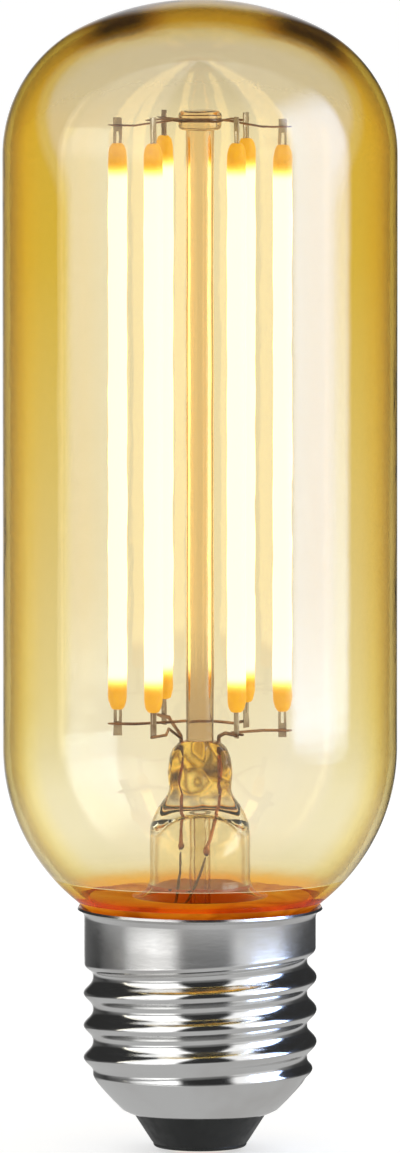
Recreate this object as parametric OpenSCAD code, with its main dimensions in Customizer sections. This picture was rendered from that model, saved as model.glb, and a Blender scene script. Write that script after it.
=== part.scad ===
// Tubular light bulb: six light-emitting sticks on a glass stem, in an amber glass tube with a
// domed top and a round shoulder, held in a rolled screw cap. The axis is Z, upwards from the
// cap, and the lowest point of the centre contact is at zero. The front is towards -Y.

/* [Glass tube] */
// Outer diameter of the glass tube
glass_d = 44.2; // [42:0.1:50]
// Overall height, from the centre contact to the top of the glass
overall_h = 129.4; // [126:0.1:150]
// Least height of the glass above the top tabs; longer sticks make the glass taller
head_room = 6; // [5:0.1:12]
// Wall of the glass
glass_wall = 0.8; // [0.5:0.05:1.1]
// Radius of the crown of the top
crown_r = 30; // [27:0.1:36]
// Radius of the knuckle between the crown and the side
knuckle_r = 16; // [10:0.1:18]
// Outer diameter of the neck that stands in the cap
neck_d = 24.4; // [23.6:0.1:24.8]
// How far the neck reaches down into the cap, below its rim
neck_depth = 3.5; // [2.5:0.1:3.8]

/* [Stem] */
// Outer diameter of the flare tube
flare_tube_d = 11.3; // [9:0.1:13]
// Wall of the flare tube
flare_wall = 0.55; // [0.4:0.05:0.8]
// Radius of the bend from the flare tube into its rim
flare_bend_r = 2; // [1.2:0.1:3]
// Height of the flare's rim above the rim of the cap
flare_rim_h = 0.9; // [0.2:0.1:2]
// Height of the pinch's top above the rim of the cap
pinch_top_h = 19; // [17:0.1:24]
// Height of the pinch, above the cone of the flare tube
pinch_h = 5.1; // [4:0.1:8]
// Height of the cone between the flare tube and the pinch
stem_cone_h = 4.9; // [3:0.1:6]
// Depth of solid glass between the foot of the pinch and the bore of the flare tube
pinch_root = 1.95; // [1:0.05:3]
// Width of the pinch
pinch_w = 7; // [6:0.1:8]
// Thickness of the pinch
pinch_t = 3; // [2:0.1:4]
// Outer diameter of the exhaust tube
exhaust_d = 2.4; // [2:0.1:2.8]
// Bore of the exhaust tube
exhaust_bore = 1.3; // [0.8:0.1:1.6]
// Height of the exhaust tube's sealed tip below the rim of the cap
exhaust_tip_drop = 8; // [4:0.1:9]
// Diameter of the glass rod that carries the sticks' top wires
rod_d = 3.1; // [2.6:0.1:3.6]
// Diameter of the bead at the top of the rod
bead_d = 4.9; // [4.5:0.1:5.6]
// Height of the bead
bead_h = 2.2; // [1.8:0.1:2.6]
// Radius of the bead's edges
bead_edge_r = 0.6; // [0.3:0.1:0.9]

/* [Light sticks] */
// Radius of the ring on which the sticks stand
ring_r = 9.25; // [8.5:0.05:12]
// Angle of the first stick about the axis
ring_turn = -4; // [-15:1:15]
// Diameter of a stick
stick_d = 2.1; // [1.8:0.1:2.6]
// Length of a stick, from tip to tip
stick_l = 63.6; // [58:0.1:66]
// Height of the sticks' lower tips above the top of the pinch
stick_lift = 3.6; // [3.2:0.1:6]
// Radius of the curve of a stick's bullet tip
tip_curve_r = 2.2; // [1.6:0.1:3]
// Width of a tab
tab_w = 0.93; // [0.7:0.01:1.1]
// Thickness of a tab
tab_t = 0.22; // [0.15:0.01:0.35]
// Length of a tab outside its stick
tab_l = 2.9; // [2.4:0.1:3.2]
// Length of the slot in a tab, measured from its stick
tab_slot_l = 1.3; // [0.8:0.1:1.6]
// Width of the slot in a tab
tab_slot_w = 0.3; // [0.2:0.01:0.4]
// How deep a tab is set into the tip of its stick
tab_root = 0.5; // [0.3:0.1:0.8]

/* [Wires] */
// Diameter of the two inner leads
lead_d = 0.5; // [0.4:0.01:0.6]
// Diameter of the wires between the tabs
link_d = 0.4; // [0.3:0.01:0.45]
// Diameter of the seal wires in the pinch
seal_wire_d = 0.36; // [0.3:0.01:0.45]
// Length of the seal wires
seal_wire_l = 4.1; // [3.5:0.1:4.5]
// Diameter of the outer leads and of the driver's wires
outer_lead_d = 0.44; // [0.35:0.01:0.55]
// Diameter of the weld knot at the end of an outer lead
knot_d = 0.8; // [0.6:0.05:1]
// Distance of a lead in the pinch from the axis
lead_offset = 2.1; // [1.8:0.05:2.5]

/* [Cap shell] */
// Height of the cap's rim above the centre contact
cap_h = 27.3; // [26.5:0.1:28.5]
// Diameter over the crests of the thread
crest_d = 26.2; // [25.9:0.01:26.5]
// Diameter over the roots of the thread
root_d = 24.1; // [23.9:0.01:24.4]
// Pitch of the thread
pitch = 3.63; // [3.4:0.01:3.8]
// Thickness of the sheet
sheet_t = 0.3; // [0.2:0.01:0.35]
// Diameter of the plain collar above the thread
collar_d = 26.0; // [25.9:0.01:26.2]
// Height of the plain collar, from the end of the thread to the rim
collar_h = 5.02; // [4.6:0.01:5.8]
// Diameter of the flared rim
rim_d = 27.5; // [27:0.1:28]
// Height of the flare of the rim
rim_flare_h = 0.9; // [0.6:0.1:1.4]
// Height of the shell's lower lip above the centre contact
lip_z = 4.33; // [4:0.01:5]
// Height of the sloped shoulder between the lip and the thread
shoulder_h = 4.3; // [3.8:0.1:4.8]
// Diameter of the hole in the bottom of the shell
lip_hole_d = 14.5; // [14:0.1:15]

/* [Insulator and contact] */
// Diameter of the insulator's lower end
insulator_tip_d = 10.5; // [9.5:0.1:11.5]
// Diameter of the insulator where it meets the shell
insulator_top_d = 15; // [14.8:0.1:15.6]
// Radius of the insulator's lower edge
insulator_edge_r = 0.35; // [0.2:0.05:0.6]
// Wall of the insulator
insulator_wall = 1.1; // [0.8:0.1:1.4]
// Height of the insulator's flange inside the shell
insulator_flange_h = 1.1; // [0.8:0.1:1.5]
// How far the centre contact stands below the insulator
contact_proud = 0.45; // [0.3:0.05:0.8]
// Diameter of the centre contact's dome
contact_d = 6.4; // [5:0.1:7]
// Diameter of the flat at the bottom of the contact
contact_flat_d = 3; // [2:0.1:4]
// Diameter of the contact's shank through the insulator
shank_d = 2; // [1.5:0.1:2.5]
// Diameter of the shank's spread head inside the insulator
shank_head_d = 3.6; // [3:0.1:4.5]
// Height of the spread head
shank_head_h = 0.5; // [0.3:0.1:0.8]

/* [Driver in the cap] */
// Height of the top of the driver board below the rim of the cap
board_drop = 11.3; // [10.5:0.1:12]
// Thickness of the driver board
board_t = 1; // [0.8:0.1:1.6]
// Diameter of the smoothing capacitor
capacitor_d = 6.3; // [5:0.1:6.6]
// Gap between the smoothing capacitor's end and the insulator
capacitor_gap = 1.8; // [0.8:0.1:4]
// Width of the bridge rectifier
rectifier_w = 4.7; // [4:0.1:5]
// Depth of the bridge rectifier
rectifier_d = 3.9; // [3:0.1:4.5]
// Height of the bridge rectifier
rectifier_h = 1.6; // [1.2:0.1:2.5]
// Width of the driver chip
chip_w = 4.9; // [3:0.1:5]
// Depth of the driver chip
chip_d = 3.9; // [3:0.1:4.2]
// Height of the driver chip
chip_h = 1.45; // [1:0.05:2]
// Diameter of the fuse resistor
resistor_d = 2.5; // [2:0.1:3]
// Length of the fuse resistor's body
resistor_l = 6.3; // [5:0.1:7]
// Diameter of the fuse resistor's wires
resistor_wire_d = 0.6; // [0.5:0.05:0.8]

/* [Hidden] */
$fn = 96;

// Overrun by which a cut passes the face that it opens
over = 0.05;
// Clearance between pieces that are fused, cemented or welded together
seat = 0.02;

// Stem: the pinch above and the flare tube below it
pinch_top_z = cap_h + pinch_top_h;
pinch_z = pinch_top_z - pinch_h;
pinch_corner_share = 0.3;
pinch_corner_r = pinch_w * pinch_corner_share;
flare_r = flare_tube_d / 2;
stem_cone_z = pinch_z - stem_cone_h;
flare_bore_top_z = pinch_z - pinch_root;
// Where the taper to the pinch begins, as a share of the tube's diameter below the pinch
press_taper_share = 0.6;

// Wires in the pinch: the seal wire joins the outer lead below it to the inner lead above it
seal_wire_z = flare_bore_top_z + flare_wall * 2;
lead_entry_z = seal_wire_z + seal_wire_l;
// How far a lead rises straight out of the pinch, as a share of its diameter
lead_rise_share = 0.9;
// Radius of a wire's bends, as a share of its diameter
wire_bend_share = 1.1;
wire_bend_r = link_d * wire_bend_share;

// The sticks stand at equal angles and each hangs a little higher or lower than its neighbours,
// by a share of a tab's length
stick_count = 6;
stick_z = pinch_top_z + stick_lift;
hang_shares = [-0.1, -0.03, 0.07, -0.07, 0.1, 0.14];
tabs_top_z = stick_z + stick_l + tab_l * (1 + max(hang_shares));
function stick_angle(k) = ring_turn + k * 360 / stick_count;
function hang(k) = hang_shares[k] * tab_l;
function stick_base(k) = stick_z + hang(k);
// The tip of a stick is cut flat at this share of the tab's width
tip_flat_share = 0.56;

// The bead is level with the upper tabs, at a share of a tab's length, and a top wire leaves it
// at a share of its diameter
bead_seat_share = 0.83;
bead_z = stick_z + stick_l + tab_l * bead_seat_share;
bead_run_share = 0.42;

// Glass tube, from the neck up; the neck's round shoulder starts just inside the rim of the cap
glass_r = glass_d / 2;
neck_r = neck_d / 2;
neck_drop_share = 0.33;
neck_top_z = cap_h - glass_wall * neck_drop_share;
neck_bottom_z = cap_h - neck_depth;
shoulder_z = neck_top_z + sqrt(glass_r * glass_r - neck_r * neck_r);
glass_top_z = max(overall_h, tabs_top_z + head_room);
crown_z = glass_top_z - crown_r;
knuckle_x = glass_r - knuckle_r;
knuckle_z = crown_z + sqrt(pow(crown_r - knuckle_r, 2) - knuckle_x * knuckle_x);
flare_rim_z = cap_h + flare_rim_h;
flare_foot_z = flare_rim_z + flare_wall + flare_bend_r;

// Cap shell: the sloped shoulder, the thread above it and the collar
shell_steps = 40;
rows_per_pitch = 9;
facet_share = cos(180 / shell_steps);
root_r = root_d / 2;
thread_z = lip_z + shoulder_h;
// The first crest, the thread's run-in and its run-out into the collar, as shares of the pitch
first_crest_share = 0.02;
run_in_share = 0.45;
run_in_start_share = 0.3;
run_out_share = 0.333;
collar_sweep_share = 0.25;
first_crest_z = thread_z + pitch * first_crest_share;
run_in = pitch * run_in_share;
run_out = pitch * run_out_share;
collar_sweep = pitch * collar_sweep_share;
collar_z = cap_h - collar_h;
thread_top_z = collar_z + collar_sweep;
thread_rows = ceil((thread_top_z - thread_z) / pitch * rows_per_pitch);
crest_power = 1.3;
collar_facet_gap = collar_d / 2 * (1 - facet_share);

// Insulator, contact and driver board
insulator_bottom_z = contact_proud;
insulator_floor_z = insulator_bottom_z + insulator_wall;
groove_top_z = lip_z + sheet_t + seat;
insulator_top_z = groove_top_z + insulator_flange_h;
groove_r = lip_hole_d / 2 * facet_share - seat;
flange_r = groove_r + insulator_flange_h / 2;
board_top_z = cap_h - board_drop;
board_z = board_top_z - board_t;
board_clearance = 0.25;
board_r = root_r * facet_share - sheet_t - board_clearance;
capacitor_l = board_z - seat - insulator_top_z - capacitor_gap;
// The capacitor's rolled groove, as shares of its length and of its diameter
groove_place_share = 0.15;
groove_deep_share = 0.04;
// Place of the driver chip, as shares of the board's radius
chip_place_shares = [0.333, 0.167];
// The cap wire: how far it stands in from the board's edge and the heights of its bends, as
// shares of its diameter
cap_wire_angle = 135;
cap_wire_inset_share = 2;
cap_wire_rise_shares = [3, 5, 8];

// Where a wire lies against each tab: a share of the tab's length above its lower end, and the
// side of the tab, positive towards larger angles
lower_weld_shares = [0.27, 0.23, 0.35, 0.45, 0.08, 0.14];
lower_sides = [-1, 1, 1, 1, 1, -1];
upper_weld_shares = [0.7, 0.7, 0.7, 0.7, 0.9, 0.9];
upper_sides = [-1, 1, 1, 1, -1, 1];
// How far a wire's end passes the edge of its tab, and where its first bend lies inside it
end_pass_share = 0.75;
inner_bend_share = 2.2;
// How far the hump of the branch wire lies outside its lead, as a share of the pinch's width
hump_share = 0.2;

function polar(r, a) = [r * cos(a), r * sin(a)];
function tangent_of(a) = [-sin(a), cos(a)];
function tab_point(k, side, out, d, z) =
    let (p = polar(ring_r + out, stick_angle(k)), t = tangent_of(stick_angle(k)))
    let (off = side * (tab_t / 2 + d / 2 + seat))
    [p[0] + off * t[0], p[1] + off * t[1], z];
function lower_weld_z(k) = stick_base(k) - tab_l + lower_weld_shares[k] * tab_l;
function upper_weld_z(k) = stick_base(k) + stick_l + upper_weld_shares[k] * tab_l;
function outer_end(k, side, d, z) = tab_point(k, side, tab_w * (0.5 + end_pass_share), d, z);
function inner_bend(k, side, d, z) = tab_point(k, side, -tab_w * inner_bend_share, d, z);

// Rounds the corners of a wire's route, with the same number of points in each bend, which takes
// up at most a share of the straight runs beside it
corner_reach_share = 0.476;
function unit(v) = v / norm(v);
function corner(p, q, s, r, steps) =
    let (a = unit(p - q), b = unit(s - q))
    let (half = acos(max(-1, min(1, a * b))) / 2)
    let (room = min(norm(p - q), norm(s - q)) * corner_reach_share)
    let (reach = min(r / tan(half), room))
    let (start = q + a * reach, stop = q + b * reach)
    [for (i = [0:steps]) let (u = i / steps)
        start * (1 - u) * (1 - u) + q * 2 * u * (1 - u) + stop * u * u];
function rounded(pts, r, steps) = concat(
    [pts[0]],
    [for (i = [1:len(pts) - 2]) each corner(pts[i - 1], pts[i], pts[i + 1], r, steps)],
    [pts[len(pts) - 1]]
);
function heading(pts, i) =
    unit(pts[min(i + 1, len(pts) - 1)] - pts[max(i - 1, 0)]);
function sides_of(pts, up, i) =
    i == len(pts) ? [] :
    let (t = heading(pts, i), n = unit(up - (up * t) * t))
    concat([n], sides_of(pts, n, i + 1));

// A wire of round section along a list of points, with a thickness for each point. One that
// starts steeply has its first corner turned towards +X, any other has it turned upwards.
wire_faces = 8;
bend_points = 3;
steep_share = 0.9;
module wire(pts, diameters) {
    count = len(pts);
    first = heading(pts, 0);
    start = abs(first[2]) > steep_share ? [1, 0, 0] : [0, 0, 1];
    normals = sides_of(pts, start, 0);
    rings = [for (i = [0:count - 1])
        let (t = heading(pts, i), n = normals[i], b = cross(t, n))
        for (j = [0:wire_faces - 1])
        let (a = j * 360 / wire_faces)
        pts[i] + (n * cos(a) + b * sin(a)) * diameters[i] / 2];
    sides = [for (i = [0:count - 2])
        for (j = [0:wire_faces - 1])
        let (j2 = (j + 1) % wire_faces, p = i * wire_faces, q = p + wire_faces)
        each [[p + j, q + j, q + j2], [p + j, q + j2, p + j2]]];
    last = (count - 1) * wire_faces;
    lid = [for (j = [0:wire_faces - 1]) j];
    foot = [for (j = [wire_faces - 1:-1:0]) last + j];
    polyhedron(points = rings, faces = concat(sides, [lid], [foot]), convexity = 4);
}

module bent_wire(pts, d, bend) {
    route = rounded(pts, bend, bend_points);
    wire(route, [for (p = route) d]);
}

// The half section of the glass tube, drawn smaller by inset for the inner wall
module tube_section(inset, extra) {
    slope = [knuckle_x, knuckle_z - crown_z] / (crown_r - knuckle_r);
    intersection() {
        translate([0, neck_bottom_z - extra])
            square([glass_r, glass_top_z - neck_bottom_z + extra]);
        union() {
            intersection() {
                translate([0, crown_z])
                    circle(r = crown_r - inset);
                polygon([
                    [0, crown_z],
                    [0, crown_z] + slope * crown_r * 2,
                    [0, crown_z + crown_r * 2]
                ]);
            }
            translate([knuckle_x, knuckle_z])
                circle(r = knuckle_r - inset);
            translate([0, shoulder_z])
                square([glass_r - inset, knuckle_z - shoulder_z]);
            translate([0, shoulder_z])
                circle(r = glass_r - inset);
            translate([0, neck_bottom_z - extra])
                square([neck_r - inset, shoulder_z - neck_bottom_z + extra]);
        }
    }
}

module glass_envelope() {
    color([0.88, 0.72, 0.36, 0.4])
        rotate_extrude()
            difference() {
                tube_section(0, 0);
                tube_section(glass_wall, over);
            }
}

// Seen from the front, the flare tube narrows in a cone to the width of the pinch
module stem_section() {
    difference() {
        polygon([
            [0, flare_foot_z], [flare_r, flare_foot_z], [flare_r, stem_cone_z],
            [pinch_w / 2, pinch_z], [pinch_w / 2, pinch_top_z], [0, pinch_top_z]
        ]);
        translate([pinch_w / 2 - pinch_corner_r, pinch_top_z - pinch_corner_r])
            difference() {
                square(pinch_corner_r + over);
                circle(r = pinch_corner_r);
            }
    }
}
module bore_section() {
    bore_r = flare_r - flare_wall;
    narrowing = (flare_r - pinch_w / 2) / stem_cone_h;
    polygon([
        [0, flare_foot_z - over], [bore_r, flare_foot_z - over], [bore_r, stem_cone_z],
        [bore_r - narrowing * (flare_bore_top_z - stem_cone_z), flare_bore_top_z],
        [0, flare_bore_top_z]
    ]);
}

// The pinch is pressed flat from front and back, and the tube tapers towards it
module press_sides(inset, top_z, foot_z) {
    half = pinch_t / 2 - inset;
    taper_z = pinch_z - flare_tube_d * press_taper_share;
    rotate([90, 0, 90])
        translate([0, 0, -flare_r - over])
            linear_extrude(flare_tube_d + 2 * over)
                polygon([
                    [-flare_r + inset, foot_z], [flare_r - inset, foot_z],
                    [flare_r - inset, taper_z], [half, pinch_z],
                    [half, top_z], [-half, top_z],
                    [-half, pinch_z], [-flare_r + inset, taper_z]
                ]);
}

// The flare's rim is a flat ring, joined to the tube by a bend and fused to the glass tube where
// its round shoulder turns into the neck
module flare_rim_section() {
    drop = shoulder_z - flare_rim_z;
    bore_r = glass_r - glass_wall;
    rim_r = max(neck_r - glass_wall, sqrt(max(0, bore_r * bore_r - drop * drop))) - seat;
    bend_x = flare_r + flare_bend_r;
    translate([bend_x, flare_rim_z])
        square([rim_r - bend_x, flare_wall]);
    intersection() {
        translate([bend_x, flare_foot_z])
            difference() {
                circle(r = flare_bend_r + flare_wall);
                circle(r = flare_bend_r);
            }
        translate([flare_r - flare_wall, flare_rim_z])
            square([flare_bend_r + flare_wall, flare_bend_r + flare_wall]);
    }
}

module glass_stem() {
    blow_hole_z = flare_bore_top_z + flare_wall + exhaust_bore / 2;
    color([0.9, 0.8, 0.55, 0.5])
        difference() {
            union() {
                intersection() {
                    rotate_extrude()
                        stem_section();
                    press_sides(0, pinch_top_z, flare_foot_z);
                }
                rotate_extrude()
                    flare_rim_section();
            }
            intersection() {
                rotate_extrude()
                    bore_section();
                press_sides(flare_wall, pinch_top_z, flare_foot_z - over);
            }
            for (side = [-1, 1])
                translate([side * lead_offset, 0, 0])
                    stem_channel();
            translate([0, 0, flare_bore_top_z - over])
                cylinder(d = exhaust_bore, h = blow_hole_z - flare_bore_top_z + over);
            translate([0, 0, blow_hole_z])
                sphere(d = exhaust_bore);
            translate([0, 0, blow_hole_z])
                rotate([90, 0, 0])
                    cylinder(d = exhaust_bore, h = flare_r);
        }
}

// Channel that the seal wire and the ends of its two leads fill
module stem_channel() {
    translate([0, 0, flare_bore_top_z - flare_wall])
        cylinder(d = outer_lead_d + seat, h = seal_wire_z - flare_bore_top_z + flare_wall);
    translate([0, 0, seal_wire_z - over])
        cylinder(d = seal_wire_d + seat, h = seal_wire_l + 2 * over);
    translate([0, 0, seal_wire_z + seal_wire_l])
        cylinder(d = lead_d + seat, h = pinch_top_z - seal_wire_z);
}

module exhaust_tube() {
    tip_z = cap_h - exhaust_tip_drop;
    wall = (exhaust_d - exhaust_bore) / 2;
    color([0.9, 0.82, 0.6, 0.5])
        difference() {
            union() {
                translate([0, 0, tip_z + exhaust_d / 2])
                    cylinder(d = exhaust_d, h = flare_bore_top_z - tip_z - exhaust_d / 2);
                translate([0, 0, tip_z + exhaust_d / 2])
                    sphere(d = exhaust_d);
            }
            translate([0, 0, tip_z + exhaust_d / 2 + wall])
                cylinder(d = exhaust_bore, h = flare_bore_top_z - tip_z);
        }
}

// The rod ends in a bead that is melted round the three top wires
function bead_wire_y(row) = row * (bead_d / 2 - link_d / 2);
function bead_point(row, side) =
    [side * bead_d * bead_run_share, bead_wire_y(row), bead_z];
module glass_rod() {
    bead_r = bead_d / 2;
    color([0.92, 0.84, 0.6, 0.5])
        difference() {
            union() {
                translate([0, 0, pinch_top_z])
                    cylinder(d = rod_d, h = bead_z - pinch_top_z);
                translate([0, 0, bead_z - bead_h / 2])
                    rotate_extrude()
                        union() {
                            square([bead_r - bead_edge_r, bead_h]);
                            translate([0, bead_edge_r])
                                square([bead_r, bead_h - 2 * bead_edge_r]);
                            for (z = [bead_edge_r, bead_h - bead_edge_r])
                                translate([bead_r - bead_edge_r, z])
                                    circle(r = bead_edge_r);
                        }
            }
            for (row = [-1, 1])
                translate([-bead_d, bead_wire_y(row), bead_z])
                    rotate([0, 90, 0])
                        cylinder(d = link_d + seat, h = 2 * bead_d);
            rotate([0, 0, ring_turn])
                translate([-bead_d, 0, bead_z])
                    rotate([0, 90, 0])
                        cylinder(d = link_d + seat, h = 2 * bead_d);
        }
}

// A light stick: a coated strip with a bullet tip at each end, cut flat where the tab comes out
tip_drop = tip_curve_r - stick_d / 2;
tip_h = sqrt(tip_curve_r * tip_curve_r - pow(tip_drop + tab_w * tip_flat_share, 2));
module tip_trim() {
    difference() {
        square([stick_d, tip_h + over]);
        translate([-tip_drop, 0])
            circle(r = tip_curve_r);
    }
}
module light_stick(k) {
    color([1, 0.93, 0.7])
        difference() {
            translate(concat(polar(ring_r, stick_angle(k)), [stick_base(k)]))
                rotate_extrude()
                    difference() {
                        square([stick_d / 2, stick_l]);
                        translate([0, stick_l - tip_h])
                            tip_trim();
                        translate([0, tip_h])
                            mirror([0, 1])
                                tip_trim();
                    }
            lower_tab_blank(k);
            upper_tab_blank(k);
        }
}

// A tab: a flat strip in the plane of the axis, slotted next to its stick
module tab_plate(k, low_z, length) {
    rotate([0, 0, stick_angle(k)])
        translate([ring_r - tab_w / 2, -tab_t / 2, low_z])
            cube([tab_w, tab_t, length]);
}
module tab_slot(k, low_z) {
    rotate([0, 0, stick_angle(k)])
        translate([ring_r - tab_slot_w / 2, -tab_t / 2 - over, low_z])
            cube([tab_slot_w, tab_t + 2 * over, tab_slot_l]);
}
module lower_tab_blank(k) {
    tab_plate(k, stick_base(k) - tab_l, tab_l + tab_root);
}
module upper_tab_blank(k) {
    tab_plate(k, stick_base(k) + stick_l - tab_root, tab_l + tab_root);
}
module lower_tab(k) {
    color([0.62, 0.58, 0.5])
        difference() {
            lower_tab_blank(k);
            tab_slot(k, stick_base(k) - tab_slot_l);
        }
}
module upper_tab(k) {
    color([0.62, 0.58, 0.5])
        difference() {
            upper_tab_blank(k);
            tab_slot(k, stick_base(k) + stick_l);
        }
}

// A top wire joins two sticks and runs through the bead; row is -1, 0 or 1 from front to back
module top_wire(k_left, k_right, row) {
    left_z = upper_weld_z(k_left);
    right_z = upper_weld_z(k_right);
    left_end = outer_end(k_left, upper_sides[k_left], link_d, left_z);
    right_end = outer_end(k_right, upper_sides[k_right], link_d, right_z);
    left_bend = inner_bend(k_left, upper_sides[k_left], link_d, left_z);
    right_bend = inner_bend(k_right, upper_sides[k_right], link_d, right_z);
    axis_run = polar(bead_d / 2 + link_d, ring_turn);
    left_in = row == 0 ? [-axis_run[0], -axis_run[1], bead_z] : bead_point(row, -1);
    right_in = row == 0 ? [axis_run[0], axis_run[1], bead_z] : bead_point(row, 1);
    color([0.42, 0.3, 0.18])
        bent_wire([left_end, left_bend, left_in, right_in, right_bend, right_end],
            link_d, wire_bend_r);
}
module top_wire_front() {
    top_wire(4, 5, -1);
}
module top_wire_middle() {
    top_wire(3, 0, 0);
}
module top_wire_back() {
    top_wire(2, 1, 1);
}

// An inner lead rises out of the pinch and runs outwards to a tab
module inner_lead(side, k, tab_side) {
    z = lower_weld_z(k);
    foot = [side * lead_offset, 0, lead_entry_z];
    knee = [side * lead_offset, 0, pinch_top_z + lead_d * lead_rise_share];
    color([0.5, 0.36, 0.22])
        bent_wire([
            foot, knee,
            inner_bend(k, tab_side, lead_d, z),
            outer_end(k, tab_side, lead_d, z)
        ], lead_d, lead_d);
}
module left_inner_lead() {
    inner_lead(-1, 2, lower_sides[2]);
}
module right_inner_lead() {
    inner_lead(1, 5, lower_sides[5]);
}

// The branch wire lies against the left lead where that leaves the pinch
module left_branch_wire() {
    z = lower_weld_z(4);
    touch = lead_d / 2 + link_d / 2 + seat;
    start = [-lead_offset, -touch, pinch_top_z + link_d / 2 + seat];
    hump = [-lead_offset - pinch_w * hump_share, -pinch_t, z + link_d];
    color([0.46, 0.33, 0.2])
        bent_wire([
            start, hump,
            inner_bend(4, lower_sides[4], link_d, z),
            outer_end(4, lower_sides[4], link_d, z)
        ], link_d, wire_bend_r);
}

// The jumper joins the two right-hand tabs, above the right lead
module right_jumper() {
    z_front = lower_weld_z(5);
    color([0.46, 0.33, 0.2])
        bent_wire([
            outer_end(5, 1, link_d, z_front),
            inner_bend(5, 1, link_d, z_front),
            inner_bend(0, lower_sides[0], link_d, lower_weld_z(0)),
            outer_end(0, lower_sides[0], link_d, lower_weld_z(0))
        ], link_d, wire_bend_r);
}

// The rear link joins the left tab to the right-hand rear tab and passes behind the rod
module rear_link_wire() {
    left_z = lower_weld_z(3);
    right_z = lower_weld_z(1);
    knee = inner_bend(3, lower_sides[3], link_d, left_z);
    behind = [0, rod_d / 2 + pinch_t, left_z];
    color([0.46, 0.33, 0.2])
        bent_wire([
            outer_end(3, lower_sides[3], link_d, left_z), knee,
            behind,
            inner_bend(1, lower_sides[1], link_d, right_z),
            outer_end(1, lower_sides[1], link_d, right_z)
        ], link_d, wire_bend_r);
}

module seal_wire(side) {
    color([0.75, 0.35, 0.2])
        translate([side * lead_offset, 0, seal_wire_z])
            cylinder(d = seal_wire_d, h = seal_wire_l);
}
module left_seal_wire() {
    seal_wire(-1);
}
module right_seal_wire() {
    seal_wire(1);
}

// Routes of the outer leads and the driver's wires: across as shares of the flare tube's radius,
// and up as shares of the height from the driver board to the pinch
function route_point(share) = [
    share[0] * flare_r, share[1] * flare_r,
    board_top_z + share[2] * (flare_bore_top_z - board_top_z)
];
left_outer_shares = [[-0.38, 0, 0.9], [-0.39, 0, 0.79]];
right_outer_shares = [[0.335, 0, 0.95], [0.25, -0.21, 0.87], [0.145, -0.305, 0.78]];
left_driver_shares = [
    [-0.4, 0, 0.66], [-0.48, -0.04, 0.5], [-0.71, -0.17, 0.26],
    [-0.79, -0.27, 0.08], [-0.79, -0.27, 0]
];
right_driver_shares = [
    [0, -0.325, 0.66], [-0.28, -0.345, 0.5], [-0.46, -0.525, 0.26],
    [-0.5, -0.71, 0.08], [-0.5, -0.71, 0]
];

// An outer lead ends in a round weld knot: places along it and widths, as shares of its diameter
knot_step_shares = [0, 0.15, 0.5, 0.85, 1];
knot_width_shares = [0.55, 0.85, 1, 0.85, 0.4];
module outer_lead(side, shares) {
    foot = [side * lead_offset, 0, seal_wire_z];
    out = [side * lead_offset, 0, flare_bore_top_z - outer_lead_d];
    bends = rounded(concat([foot, out], [for (s = shares) route_point(s)]), outer_lead_d,
        bend_points);
    end = bends[len(bends) - 1];
    run = unit(end - bends[len(bends) - 2]);
    knot = [for (s = knot_step_shares) end + run * knot_d * s];
    color([0.72, 0.36, 0.2])
        wire(
            concat([for (i = [0:len(bends) - 2]) bends[i]], knot),
            concat(
                [for (i = [0:len(bends) - 2]) outer_lead_d],
                [for (s = knot_width_shares) knot_d * s]
            )
        );
}
function knot_end(side, shares) =
    let (last = len(shares) - 1, end = route_point(shares[last]))
    let (before = route_point(shares[last - 1]))
    end + unit(end - before) * (knot_d + 2 * seat);

module driver_wire(start, shares) {
    color([0.6, 0.5, 0.4])
        bent_wire(concat([start], [for (s = shares) route_point(s) + [0, 0, seat]]),
            outer_lead_d, flare_bend_r);
}
module left_outer_lead() {
    outer_lead(-1, left_outer_shares);
}
module right_outer_lead() {
    outer_lead(1, right_outer_shares);
}
module left_driver_wire() {
    driver_wire(knot_end(-1, left_outer_shares), left_driver_shares);
}
module right_driver_wire() {
    driver_wire(knot_end(1, right_outer_shares), right_driver_shares);
}

// The cement fills the ring between the neck and the collar
module capping_cement() {
    inner_r = neck_r + seat;
    outer_r = collar_d / 2 - sheet_t - collar_facet_gap - seat;
    color([0.55, 0.32, 0.14])
        translate([0, 0, neck_bottom_z])
            difference() {
                cylinder(r = outer_r, h = cap_h - rim_flare_h - neck_bottom_z);
                translate([0, 0, -over])
                    cylinder(r = inner_r, h = cap_h - neck_bottom_z);
            }
}

// Cap shell. Its outer skin is a height field: a radius for each height and angle. The thread is
// a helical wave that rises one pitch a turn, runs in above the sloped shoulder and runs out into
// the collar. The inner skin lies one sheet thickness inside, square to the outer one.
// Corners of the sloped shoulder: shares of the root radius and of the shoulder's height
shoulder_shares = [
    [0.667, 0], [0.735, 0.1], [0.82, 0.34], [0.905, 0.6], [0.965, 0.8], [0.993, 0.93]
];
// The flare of the rim: shares of its height and of how far it stands out of the collar
flare_shares = [[0, 0], [0.35, 0.08], [0.65, 0.35], [0.88, 0.72], [1, 1]];

function ease(u) = let (c = max(0, min(1, u))) c * c * (3 - 2 * c);
function wave(z, a) =
    pow((1 + cos(360 * ((z - first_crest_z) / pitch - a / 360))) / 2, crest_power);
function collar_edge(a) = collar_z + collar_sweep * cos(a);
function thread_r(z, a) =
    let (lift = ease((z - thread_z) / run_in + run_in_start_share) * wave(z, a))
    let (fill = ease((z - collar_edge(a)) / run_out + 1))
    root_r + (crest_d / 2 - root_r) * lift * (1 - fill) + (collar_d / 2 - root_r) * fill;

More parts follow.
